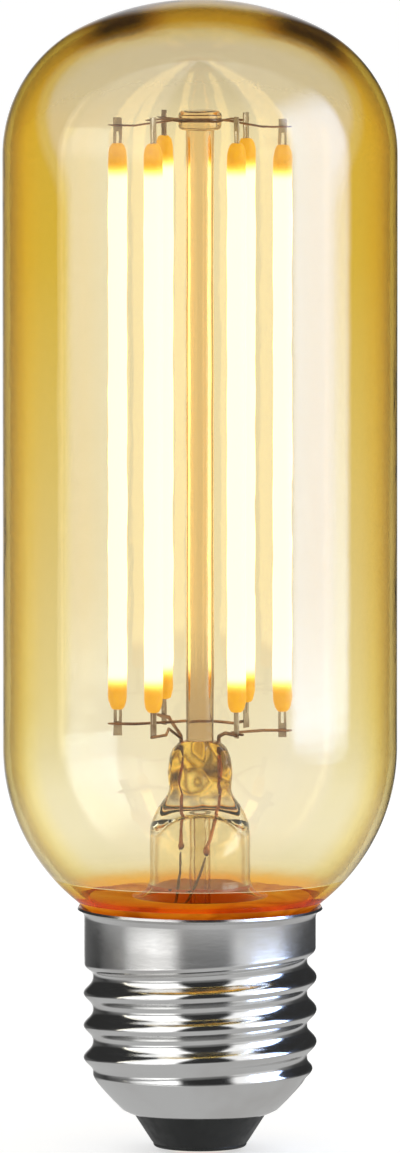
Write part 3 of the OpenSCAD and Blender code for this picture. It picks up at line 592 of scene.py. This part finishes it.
# Exhaust tube: the thin tube through which the bulb was pumped empty. It hangs inside the flare
# tube, and its lower end is melted shut.
exhaust_radius = 1.2 * mm
exhaust_bore = exhaust_hole
exhaust_tip = 19.3 * mm
exhaust_top = bore_top
tip_wall = exhaust_radius - exhaust_bore
exhaust = turned(
    "exhaust_tube_drawn",
    [(pole, exhaust_tip)]
    + arc((0, exhaust_tip + exhaust_radius), exhaust_radius, -86, 0, 12)
    + run((exhaust_radius, exhaust_tip + exhaust_radius), (exhaust_radius, exhaust_top), 12)
    + [(exhaust_radius, exhaust_top), (exhaust_bore, exhaust_top)]
    + run((exhaust_bore, exhaust_top), (exhaust_bore, exhaust_tip + exhaust_radius), 12)
    + arc((0, exhaust_tip + exhaust_radius + tip_wall), exhaust_bore, 0, -80, 6)
    + [(pole, exhaust_tip + exhaust_radius + tip_wall - exhaust_bore)],
    64,
)
close_up(exhaust)
# Its tint darkens towards its outline, as painted shade
exhaust.data.materials.append(glass_material(
    "exhaust_glass", (0.95, 0.88, 0.72, 1), (0.4, 0.22, 0.08, 1),
    (0.93, 0.75, 0.45, 1), (0.5, 0.28, 0.1, 1),
    (exhaust_tip, exhaust_tip + 6 * mm), (0.3, 0.5), (0.2, 0.15, 0.1 * mm),
))
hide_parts("exhaust_tube")
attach(exhaust, "root")

# Glass rod: it stands on the pinch, and its top is melted into a bead round the three top wires,
# which carry the upper ends of the sticks.
rod_radius = 1.55 * mm
bead_radius = 2.45 * mm
bead_half_height = 1.1 * mm
rod_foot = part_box("glass_rod")[0].z
bead_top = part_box("glass_rod")[1].z
bead_edge = 0.6 * mm
bead_flat = 0.6 * mm
bead_foot = bead_top - 2 * bead_half_height
rod = turned(
    "glass_rod_drawn",
    [(pole, rod_foot), (rod_radius, rod_foot)]
    + run((rod_radius, rod_foot), (rod_radius, bead_foot), 60)
    + [(rod_radius, bead_foot)]
    + arc((bead_radius - bead_edge, bead_foot + bead_edge), bead_edge, -80, 0, 8)
    + arc((bead_radius - bead_edge, bead_top - bead_edge), bead_edge, 0, 90, 8)
    + [(bead_flat, bead_top), (pole, bead_top)],
    96,
)
close_up(rod)
# The rod darkens towards its foot by the pinch, to near black at the outline: painted shade
rod.data.materials.append(glass_material(
    "rod_glass", (0.9, 0.71, 0.46, 1), (0.45, 0.25, 0.1, 1),
    (0.6, 0.44, 0.27, 1), (0.05, 0.016, 0.004, 1),
    (rod_foot + 2 * mm, rod_foot + 15 * mm), (0.34, 0.6), (0.15, 0.12, 0.08 * mm),
))
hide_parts("glass_rod")
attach(rod, "root")

# Light sticks: thin strips of chips, moulded all round in a yellow silicone that glows white when
# lit. The ends past the last chip stay amber. Each has bullet tips, cut flat where the tab starts.
stick_count = 6
stick_radius = 1.05 * mm
stick_tip = 1.65 * mm
stick_flat = 0.45 * mm
tip_fullness = 1.1
tip_places = 8
stick_rows = 90
stick_sides = 32
lit_from = 2.0 * mm
lit_to = 4.2 * mm
core_glow = (1.0, 0.85, 0.47, 1)
blend_glow = (1.0, 0.62, 0.12, 1)
end_glow = (1.0, 0.5, 0.0, 1)
stick_brightness = 3.0
end_brightness = 0.55


def stick_material(name, low, high):
    """Lit silicone, white along the strip of chips and amber at both ends."""
    material, tree, shader = new_material(name)
    spot = object_place(tree)
    level = coordinates(tree, spot)["Z"]
    from_foot = span(tree, level, low + lit_from, low + lit_to)
    from_top = span(tree, level, high - lit_from, high - lit_to)
    lit = maths(tree, "MULTIPLY", from_foot, from_top)
    grains = noise(tree, spot, 1600.0, 3.0)
    skin = mixed(tree, grains, (0.7, 0.33, 0.0, 1), (0.82, 0.45, 0.01, 1))
    tree.links.new(skin, shader.inputs["Base Color"])
    tree.links.new(span(tree, grains, *noise_range, 0.34, 0.5), shader.inputs["Roughness"])
    patchy = span(tree, grains, 0.25, 0.75, 0.82, 1.0)
    end_level = maths(tree, "MULTIPLY", patchy, end_brightness / stick_brightness)
    level_of_light = place(tree, "MapRange", {"Value": lit, "To Min": end_level, "To Max": 1.0})
    glow = ramp(tree, lit, [(0.0, end_glow), (0.35, blend_glow), (0.85, core_glow)])
    glow = scaled(tree, glow, level_of_light.outputs[0])
    tree.links.new(glow, shader.inputs["Emission Color"])
    shader.inputs["Emission Strength"].default_value = stick_brightness
    tree.links.new(bump_normal(tree, grains, 0.4, 0.05 * mm), shader.inputs["Normal"])
    return material


stick_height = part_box("light_stick_1")[1].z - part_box("light_stick_1")[0].z
tip_turns = [math.pi / 2 * n / tip_places for n in range(tip_places + 1)]
tip_curve = [
    (stick_flat + (stick_radius - stick_flat) * math.sin(turn) ** tip_fullness,
     stick_tip * (1 - math.cos(turn)))
    for turn in tip_turns
]
stick_profile = (
    [(pole, 0)]
    + tip_curve
    + run((stick_radius, stick_tip), (stick_radius, stick_height - stick_tip), stick_rows)
    + [(radius, stick_height - level) for radius, level in reversed(tip_curve)]
    + [(pole, stick_height)]
)
stick_form = close_up(turned("stick_form", stick_profile, stick_sides))
# No stick is quite straight: each bows by a hair, in its own way
stick_bow = 0.025 * mm
bow_waves = 700
for number in range(1, stick_count + 1):
    node = f"light_stick_{number}"
    low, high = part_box(node)
    middle = (low + high) / 2
    stick = stick_form.copy()
    stick.data = stick_form.data.copy()
    stick.name = stick.data.name = f"lit_stick_{number}"
    bpy.context.scene.collection.objects.link(stick)
    for corner in stick.data.vertices:
        bow = stick_bow * math.sin(corner.co.z * bow_waves + number)
        corner.co += Vector((middle.x + bow, middle.y + bow, low.z))
    stick.data.materials.append(stick_material(f"lit_silicone_{number}", low.z, high.z))
    stick.visible_diffuse = False
    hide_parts(node)
    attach(stick, "root")
bpy.data.objects.remove(stick_form)

# Tabs: thin strip stamped from plated steel, with a slot beside the stick. The heat of welding has
# browned them in blotches.
# All the bulb's metals share this group of fine scuffs and larger blotches
metal_wear = bpy.data.node_groups.new("metal_wear", "ShaderNodeTree")
metal_wear.interface.new_socket("Size", in_out="INPUT", socket_type="NodeSocketFloat")
metal_wear.interface.new_socket("Stretch", in_out="INPUT", socket_type="NodeSocketVector")
metal_wear.interface.new_socket("Scuffs", in_out="OUTPUT", socket_type="NodeSocketFloat")
metal_wear.interface.new_socket("Blotches", in_out="OUTPUT", socket_type="NodeSocketFloat")
group_in = metal_wear.nodes.new("NodeGroupInput")
group_out = metal_wear.nodes.new("NodeGroupOutput")
spot = object_place(metal_wear)
stretched = place(
    metal_wear, "Mapping", {"Vector": spot, "Scale": group_in.outputs["Stretch"]}
).outputs[0]
scuffs = noise(metal_wear, stretched, group_in.outputs["Size"], 5.0, Roughness=0.65)
larger = maths(metal_wear, "MULTIPLY", group_in.outputs["Size"], 0.12)
blotches = noise(metal_wear, spot, larger, 3.0)
metal_wear.links.new(scuffs, group_out.inputs["Scuffs"])
metal_wear.links.new(blotches, group_out.inputs["Blotches"])
stain_range = (0.42, 0.66)
scuff_depth = 0.02 * mm


def worn_metal(tree, size, stretch):
    """The scuffs and blotches of a metal, from the size and the stretch of its grain."""
    wear = place(tree, "Group", {"Size": size, "Stretch": stretch}, node_tree=metal_wear)
    return wear.outputs["Scuffs"], wear.outputs["Blotches"]


def metal_material(name, clean, stained, rough, size, stretch, metallic=1.0):
    """Worn metal: fine scuffs in its finish and blotches where it is stained."""
    material, tree, shader = new_material(name)
    scuffs, blotches = worn_metal(tree, size, stretch)
    colour = mixed(tree, span(tree, blotches, *stain_range), clean, stained)
    tree.links.new(colour, shader.inputs["Base Color"])
    tree.links.new(span(tree, scuffs, *noise_range, *rough), shader.inputs["Roughness"])
    shader.inputs["Metallic"].default_value = metallic
    tree.links.new(bump_normal(tree, scuffs, 0.5, scuff_depth), shader.inputs["Normal"])
    return material


def finer_copy(node, name, rounding=0.0, levels=0):
    """A smooth copy of a CAD node: its loose triangles merged, and edges rounded or subdivided."""
    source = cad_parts[node]
    piece = source.copy()
    piece.data = source.data.copy()
    for key in list(piece.keys()):
        del piece[key]
    piece.parent = None
    piece.name = piece.data.name = name
    piece.hide_render = piece.hide_viewport = False
    bpy.context.scene.collection.objects.link(piece)
    piece.data.materials.clear()
    close_up(piece, 50, 0.001 * mm)
    if rounding:
        bevel = piece.modifiers.new("edges", "BEVEL")
        bevel.width = rounding
        bevel.segments = 2
        bevel.limit_method = "ANGLE"
        bevel.angle_limit = math.radians(40)
    if levels:
        subdivision = piece.modifiers.new("rounder", "SUBSURF")
        subdivision.levels = subdivision.render_levels = levels
    apply_modifiers(piece)
    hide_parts(node)
    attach(piece, "root")
    return piece


tab_steel = metal_material(
    "stamped_tab", (0.5, 0.42, 0.33, 1), (0.2, 0.12, 0.07, 1), (0.26, 0.46), 1500.0,
    (1, 1, 0.3),
)
for number in range(1, stick_count + 1):
    for side in ("lower", "upper"):
        tab = finer_copy(f"{side}_tab_{number}", f"stamped_{side}_tab_{number}", 0.03 * mm)
        tab.data.materials.append(tab_steel)

# Wires and leads: drawn wire, bent by hand and spot welded to the tabs, browned by the heat. The
# wires in the pinch are coated with copper, which glass grips well.
browned_wire = metal_material(
    "browned_wire", (0.34, 0.18, 0.09, 1), (0.13, 0.055, 0.025, 1), (0.32, 0.55), 1300.0,
    (1, 1, 0.4),
)
copper_wire = metal_material(
    "copper_wire", (0.62, 0.24, 0.11, 1), (0.3, 0.09, 0.04, 1), (0.3, 0.5), 1300.0, (1, 1, 0.3),
)
tinned_wire = metal_material(
    "tinned_wire", (0.42, 0.27, 0.14, 1), (0.2, 0.11, 0.05, 1), (0.35, 0.55), 1300.0, (1, 1, 0.3),
    metallic=0.5,
)
# (finish, slot, how much thinner than its solid each wire is drawn all round, nodes)
wires = [
    (browned_wire, "wire_metal", 0.07 * mm, ["top_wire_front", "top_wire_middle", "top_wire_back"]),
    (browned_wire, "wire_metal", 0.02 * mm, [
        "left_inner_lead", "left_branch_wire", "right_inner_lead", "right_jumper",
        "rear_link_wire",
    ]),
    (copper_wire, "copper_wire", 0.0, [
        "left_seal_wire", "right_seal_wire", "left_outer_lead", "right_outer_lead",
    ]),
    (tinned_wire, "wire_metal", 0.05 * mm, ["left_driver_wire", "right_driver_wire", "cap_wire"]),
]
for finish, slot, thinned, nodes in wires:
    for node in nodes:
        wire = finer_copy(node, f"drawn_{node}", levels=0 if "seal" in node else 1)
        if thinned:
            bpy.ops.object.mode_set(mode="EDIT")
            bpy.ops.mesh.select_all(action="SELECT")
            bpy.ops.transform.shrink_fatten(value=-thinned)
            bpy.ops.object.mode_set(mode="OBJECT")
        wire.data.materials.append(finish)

# Glass envelope: one tube, blown from amber glass, with a domed top, a round shoulder and a neck.
# Its thin wall looks pale face on and golden at the edge, with painted light and shade in its
# tints, and the fused neck is deep orange and glows with painted light.
glass_low, glass_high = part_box("glass_envelope")
glass_radius = glass_high.x
glass_wall = 0.8 * mm
crown_radius = 30 * mm
knuckle_radius = 16 * mm
neck_radius = 12.2 * mm
neck_top = 27.036 * mm
neck_foot = glass_low.z
fused_height = 28.4 * mm
neck_glass_height = 31 * mm
envelope_sides = 192
shoulder_height = neck_top + math.sqrt(glass_radius**2 - neck_radius**2)
crown_height = glass_high.z - crown_radius
knuckle_across = glass_radius - knuckle_radius
knuckle_height = crown_height + math.sqrt(
    (crown_radius - knuckle_radius) ** 2 - knuckle_across**2
)
knuckle_end = math.degrees(math.atan2(knuckle_height - crown_height, knuckle_across))
crown_end = 89.9
# Tints of one wall, by how far it turns away from the eye, low and high on the tube; the paler tint
# face on is painted light, for the sticks' glow in the glass, and the deeper band beside it painted
# shade
low_face_glow_and_shade = [(0.03, (0.95, 0.89, 0.72)), (0.11, (0.91, 0.865, 0.73)), (0.2, (0.94, 0.88, 0.69))]
high_face_glow_and_shade = [(0.03, (0.93, 0.85, 0.62)), (0.11, (0.82, 0.75, 0.58)), (0.2, (0.88, 0.75, 0.49))]
dome_face = (0.80, 0.73, 0.56, 1)
# Tints towards the outline, and what the fused neck takes from all of them, by height in mm
edge_tints = [
    (39, (0.92, 0.87, 0.66)), (50, (0.9, 0.79, 0.4)), (62, (0.9, 0.775, 0.36)),
    (79, (0.87, 0.70, 0.21)), (101, (0.82, 0.595, 0.065)), (118, (0.8, 0.56, 0.055)),
    (125, (0.7, 0.45, 0.03)),
]
neck_tints = [
    (28.9, (0.97, 0.5, 0.05)), (29.5, (0.85, 0.6, 0.24)), (30, (0.88, 0.82, 0.66)),
    (31.5, (0.93, 0.92, 0.86)), (34, (1, 1, 1)),
]
# Painted shade towards the very outline: what is left of the light, by how far the glass turns away
outline_painted_shade = [
    (0.42, (1, 1, 1)), (0.6, (0.95, 0.86, 0.46)), (0.7, (0.7, 0.52, 0.14)),
    (0.85, (0.4, 0.24, 0.04)),
]
# How far the glass turns away where the face's tints pass into the edge's, and how much later they
# do on the dome
edge_turns = (0.24, 0.31)
dome_shift = 0.31
# Heights over which one set of tints passes into the next
low_to_high = (41 * mm, 66 * mm)
tube_to_dome = (114 * mm, 121 * mm)
shift_levels = (106 * mm, 124 * mm)
# Dark patches of painted shade at the dome's outline, by the distance across in millimetres
painted_dark_patch = (0.04, 0.022, 0.01, 1)
painted_half_dark = (0.55, 0.38, 0.18, 1)
dark_patch_places = [
    (-15, 0), (-10.5, 1), (-7.5, 1), (-2.5, 0), (5, 0), (10.5, 1), (14.5, 1), (18, 0),
]
dark_patch_turns = (0.52, 0.68)
dark_patch_levels = (114 * mm, 120 * mm)


def glass_skin(inset):
    """The half section of one skin of the tube, from the neck up to the pole."""
    radius = glass_radius - inset
    neck = neck_radius - inset
    start = -math.degrees(math.acos(neck / radius))
    neck_end = shoulder_height + radius * math.sin(math.radians(start))
    return (
        [(neck, neck_foot)]
        + run((neck, neck_foot), (neck, neck_end), 8)
        + arc((0, shoulder_height), radius, start, 0, 40)
        + run((radius, shoulder_height), (radius, knuckle_height), 40)
        + arc((knuckle_across, knuckle_height), knuckle_radius - inset, 0, knuckle_end, 26)
        + arc((0, crown_height), crown_radius - inset, knuckle_end, crown_end, 22)[1:]
        + [(pole, glass_high.z - inset)]
    )


envelope = turned(
    "blown_envelope", glass_skin(0) + list(reversed(glass_skin(glass_wall)))
    + [(neck_radius, neck_foot)], envelope_sides,
)
close_up(envelope)
amber, tree, shader = new_material("amber_glass")
facing = place(tree, "LayerWeight", {"Blend": 0.5}).outputs["Facing"]
spot = coordinates(tree, object_place(tree))
level = spot["Z"]
share_of_height = place(
    tree, "MapRange", {"Value": level, "From Min": 0.0, "From Max": glass_high.z}
).outputs["Result"]
share_across = place(
    tree, "MapRange", {"Value": spot["X"], "From Min": -glass_radius, "From Max": glass_radius}
).outputs["Result"]


def by_height(tints):
    """A tint that changes with height, from stops in millimetres."""
    top = glass_high.z / mm
    return ramp(tree, share_of_height, [(stop / top, (*tint, 1)) for stop, tint in tints])


def by_facing(tints):
    """A tint that changes with how far the glass turns away."""
    return ramp(tree, facing, [(turn, (*tint, 1)) for turn, tint in tints])


tube_face = mixed(
    tree, span(tree, level, *low_to_high), by_facing(low_face_glow_and_shade), by_facing(high_face_glow_and_shade)
)
face_tint = mixed(tree, span(tree, level, *tube_to_dome), tube_face, dome_face)
shift = span(tree, level, *shift_levels, 0.0, dome_shift)
turned_away = maths(tree, "SUBTRACT", facing, shift)
body_tint = mixed(tree, span(tree, turned_away, *edge_turns), face_tint, by_height(edge_tints))
body_tint = mixed(tree, 1.0, body_tint, by_facing(outline_painted_shade), "MULTIPLY")
body_tint = mixed(tree, 1.0, body_tint, by_height(neck_tints), "MULTIPLY")
# Painted shade: dark patches where the dome turns away from the eye
patches = ramp(tree, share_across, [
    (0.5 + across * mm / (2 * glass_radius), amount) for across, amount in dark_patch_places
], "EASE")
painted_darkness = maths(tree, "MULTIPLY", patches, span(tree, facing, *dark_patch_turns))
painted_darkness = maths(tree, "MULTIPLY", painted_darkness, span(tree, level, *dark_patch_levels))
painted_dark_tint = ramp(tree, painted_darkness, [(0.0, grey(1)), (0.5, painted_half_dark), (1.0, painted_dark_patch)])
amber_tint = mixed(tree, 1.0, body_tint, painted_dark_tint, "MULTIPLY")
clear_glass(tree, shader, amber_tint, (0.1, 0.012, 0.25 * mm))
envelope.data.materials.append(amber)
envelope.data.materials.append(fused_material(
    "fused_neck_glass", (0.6, 0.14, 0.003, 1), (0.9, 0.26, 0.008, 1), (1.0, 0.4, 0.02, 1), 0.1
))
envelope.data.materials.append(low_index_glass(amber, "amber_neck_glass", 1.08))
for face in envelope.data.polygons:
    if face.center.z < neck_glass_height:
        face.material_index = 1 if face.center.z < fused_height else 2
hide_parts("glass_envelope")
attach(envelope, "root")

# Capping cement: a ring of brown paste, filled in between the neck and the cap's collar and baked
# hard, which holds the cap on the bulb.
cement_low, cement_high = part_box("capping_cement")
cement_outer = cement_high.x
cement_gap = 0.02 * mm
cement_inner = neck_radius + cement_gap
cement_edge = 0.1 * mm
cement_ring = turned(
    "baked_cement",
    [(cement_inner, cement_low.z), (cement_outer, cement_low.z)]
    + run((cement_outer, cement_low.z), (cement_outer, cement_high.z), 6)
    + [(cement_outer, cement_high.z - cement_edge), (cement_outer - cement_edge, cement_high.z),
       (cement_inner + cement_edge, cement_high.z), (cement_inner, cement_high.z - cement_edge)]
    + run((cement_inner, cement_high.z), (cement_inner, cement_low.z), 6)
    + [(cement_inner, cement_low.z)],
    128,
)
close_up(cement_ring)


def matt_material(name, tint, patch_tint, patch_range, rough, grain, patches, bump):
    """A baked or moulded body: a fine grain, and patches of a second tint."""
    material, tree, shader = new_material(name)
    spot = object_place(tree)
    fine = noise(tree, spot, *grain)
    patchy = span(tree, noise(tree, spot, *patches), *patch_range)
    tree.links.new(mixed(tree, patchy, tint, patch_tint), shader.inputs["Base Color"])
    tree.links.new(span(tree, fine, *noise_range, *rough), shader.inputs["Roughness"])
    tree.links.new(bump_normal(tree, fine, *bump), shader.inputs["Normal"])
    return material


cement_ring.data.materials.append(matt_material(
    "baked_cement", (0.93, 0.55, 0.2, 1), (0.72, 0.3, 0.08, 1), (0.42, 0.62), (0.6, 0.9),
    (420.0, 6.0), (90.0, 2.0), (0.6, 0.12 * mm),
))
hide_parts("capping_cement")
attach(cement_ring, "root")

# Screw cap: thin nickel-plated sheet, drawn to a cup and rolled, so that the thread is a round
# wave that climbs one pitch a turn and runs out into the plain collar. The rim is flared. Its
# sizes are in millimetres.
lip = 4.33
shoulder_rise = 4.3
lip_hole = 14.5 / 2
root_radius = 24.1 / 2
crest_radius = 26.2 / 2
collar_radius = 26.0 / 2
rim_radius = 27.5 / 2
cap_height = 27.3
rim_flare = 0.9
collar_tall = 5.02
pitch = 3.63
sheet = 0.3
thread_foot = lip + shoulder_rise
first_crest = thread_foot + 0.02 * pitch
collar_start = cap_height - collar_tall
run_in_share = 0.45
run_in_start = 0.3
run_out_share = 1 / 3
crest_power = 1.3
touching = 0.001
shoulder_shares = [
    (0.667, 0), (0.735, 0.1), (0.82, 0.34), (0.905, 0.6), (0.965, 0.8), (0.993, 0.93)
]
rim_shares = [(0, 0), (0.35, 0.08), (0.65, 0.35), (0.88, 0.72), (1, 1)]
thread_rows = 150
cap_sides = 200


def thread_radius(level, angle):
    """The outer radius of the rolled skin, at a height and an angle."""
    wave = (1 + math.cos(2 * math.pi * ((level - first_crest) / pitch) - angle)) / 2
    run_in = ease((level - thread_foot) / (run_in_share * pitch) + run_in_start)
    edge = collar_start + pitch / 4 * math.cos(angle)
    run_out = ease((level - edge) / (run_out_share * pitch) + 1)
    return (
        root_radius + (crest_radius - root_radius) * run_in * wave**crest_power * (1 - run_out)
        + (collar_radius - root_radius) * run_out
    )


thread_top = collar_start + pitch / 4
thread_levels = [
    thread_foot + (thread_top - thread_foot) * n / thread_rows for n in range(thread_rows + 1)
]
cap_profile = (
    [(lip_hole, lip)]
    + [(across * root_radius, lip + up * shoulder_rise) for across, up in shoulder_shares]
    + [(root_radius, level) for level in thread_levels]
    + [(collar_radius + out * (rim_radius - collar_radius), cap_height - rim_flare * (1 - up))
       for up, out in rim_shares]
)
cap = turned(
    "rolled_cap", [(radius * mm, level * mm) for radius, level in cap_profile], cap_sides
)
for corner in cap.data.vertices:
    level = corner.co.z / mm
    if thread_foot - touching <= level <= thread_top + touching:
        angle = math.atan2(corner.co.y, corner.co.x)
        radius = thread_radius(level, angle) * mm
        corner.co.x, corner.co.y = radius * math.cos(angle), radius * math.sin(angle)
bpy.context.view_layer.objects.active = cap
bpy.ops.object.mode_set(mode="EDIT")
bpy.ops.mesh.select_all(action="SELECT")
bpy.ops.mesh.normals_make_consistent(inside=False)
bpy.ops.object.mode_set(mode="OBJECT")
# The skin is open at both ends, so its faces may all have been turned inwards
outwards = sum(
    face.normal.dot(face.center * Vector((1, 1, 0))) for face in cap.data.polygons
)
if outwards < 0:
    cap.data.flip_normals()
wall = cap.modifiers.new("sheet", "SOLIDIFY")
wall.thickness = sheet * mm
wall.offset = -1
apply_modifiers(cap)
bpy.ops.object.shade_smooth_by_angle(angle=math.radians(50))
# The plating is bright on the thread, and satin on the plain collar above it
satin_levels = (21.2 * mm, 22.6 * mm)
satin_rough = 0.09
bright_rough = 0.09
nickel, tree, shader = new_material("nickel_plate")
level = coordinates(tree, object_place(tree))["Z"]
scuffs, blotches = worn_metal(tree, 700.0, (1, 1, 4))
rubbed = span(tree, scuffs, *noise_range, 0.0, 0.06)
rough = maths(tree, "MULTIPLY_ADD", span(tree, level, *satin_levels), satin_rough, rubbed)
tree.links.new(maths(tree, "ADD", rough, bright_rough), shader.inputs["Roughness"])
tint = mixed(
    tree, span(tree, blotches, 0.45, 0.7), (0.80, 0.80, 0.79, 1), (0.7, 0.69, 0.67, 1)
)
tree.links.new(tint, shader.inputs["Base Color"])
shader.inputs["Metallic"].default_value = 1.0
tree.links.new(bump_normal(tree, scuffs, 0.25, scuff_depth), shader.inputs["Normal"])
cap.data.materials.append(nickel)
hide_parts("cap_shell")
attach(cap, "root")

# Insulator: a black moulded cone that closes the cap's lower end. The shell's lip sits in its
# groove, and the contact in the hole through its floor.
insulator_low, insulator_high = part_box("cap_insulator")
tip_radius = 5.25 * mm
top_radius = 7.5 * mm
edge = 0.35 * mm
insulator_wall = 1.1 * mm
lip_level = 4.31 * mm
groove_top = 4.65 * mm
groove_radius = 7.21 * mm
flange_radius = insulator_wall / 2 + groove_radius
shank_hole = 1.01 * mm
floor_inset = 0.5 * mm
floor_level = insulator_low.z + insulator_wall
insulator = turned(
    "moulded_insulator",
    [(shank_hole, insulator_low.z), (tip_radius - 1.2 * edge, insulator_low.z)]
    + arc((tip_radius - edge, insulator_low.z + edge), edge, -80, 8, 8)
    + run((tip_radius, insulator_low.z + edge), (top_radius, lip_level), 8)
    + [(top_radius, lip_level), (groove_radius, lip_level), (groove_radius, groove_top),
       (flange_radius, groove_top), (flange_radius, insulator_high.z),
       (groove_radius - insulator_wall, insulator_high.z),
       (groove_radius - insulator_wall, lip_level), (tip_radius - floor_inset, floor_level),
       (shank_hole, floor_level), (shank_hole, insulator_low.z)],
    128,
)
close_up(insulator)
insulator.data.materials.append(matt_material(
    "black_insulator", (0.011, 0.0125, 0.012, 1), (0.02, 0.0215, 0.02, 1), (0.4, 0.7),
    (0.34, 0.52), (900.0, 4.0), (160.0, 2.0), (0.4, 0.03 * mm),
))
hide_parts("cap_insulator")
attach(insulator, "root")

# Centre contact: a brass rivet with a low dome. It is pushed through the insulator's hole and
# spread over the floor inside.
contact_brass = metal_material(
    "contact_brass", (0.83, 0.64, 0.32, 1), (0.55, 0.38, 0.17, 1), (0.2, 0.4), 1100.0, (1, 1, 1),
)
contact = finer_copy("centre_contact", "riveted_contact", 0.05 * mm)
contact.data.materials.append(contact_brass)

# Driver in the cap: a round green board with a rectifier and a capacitor under it, a chip on top
# and a fuse resistor that stands on the contact.
black_body = (0.02, 0.02, 0.022, 1)
# (slot, colour, colour of its patches, roughness, waves of its grain to a metre) for each node
driver_finishes = {
    "driver_board": ("board", (0.05, 0.26, 0.13, 1), (0.09, 0.36, 0.18, 1), (0.35, 0.5), 800.0),
    "bridge_rectifier": (
        "black_component", black_body, (0.05, 0.05, 0.05, 1), (0.4, 0.6), 1500.0),
    "smoothing_capacitor": (
        "capacitor_sleeve", (0.02, 0.02, 0.05, 1), (0.05, 0.05, 0.09, 1), (0.25, 0.4), 700.0),
    "driver_chip": (
        "black_component", black_body, (0.06, 0.06, 0.06, 1), (0.4, 0.6), 1700.0),
    "fuse_resistor": (
        "resistor_coat", (0.1, 0.3, 0.14, 1), (0.2, 0.42, 0.22, 1), (0.25, 0.45), 900.0),
}
for node, (slot, colour, patch_colour, rough, waves) in driver_finishes.items():
    part = finer_copy(node, f"fitted_{node}", 0.05 * mm)
    part.data.materials.append(matt_material(
        f"{node}_finish", colour, patch_colour, (0.4, 0.7), rough, (waves, 4.0), (waves, 4.0),
        (0.4, 0.02 * mm),
    ))
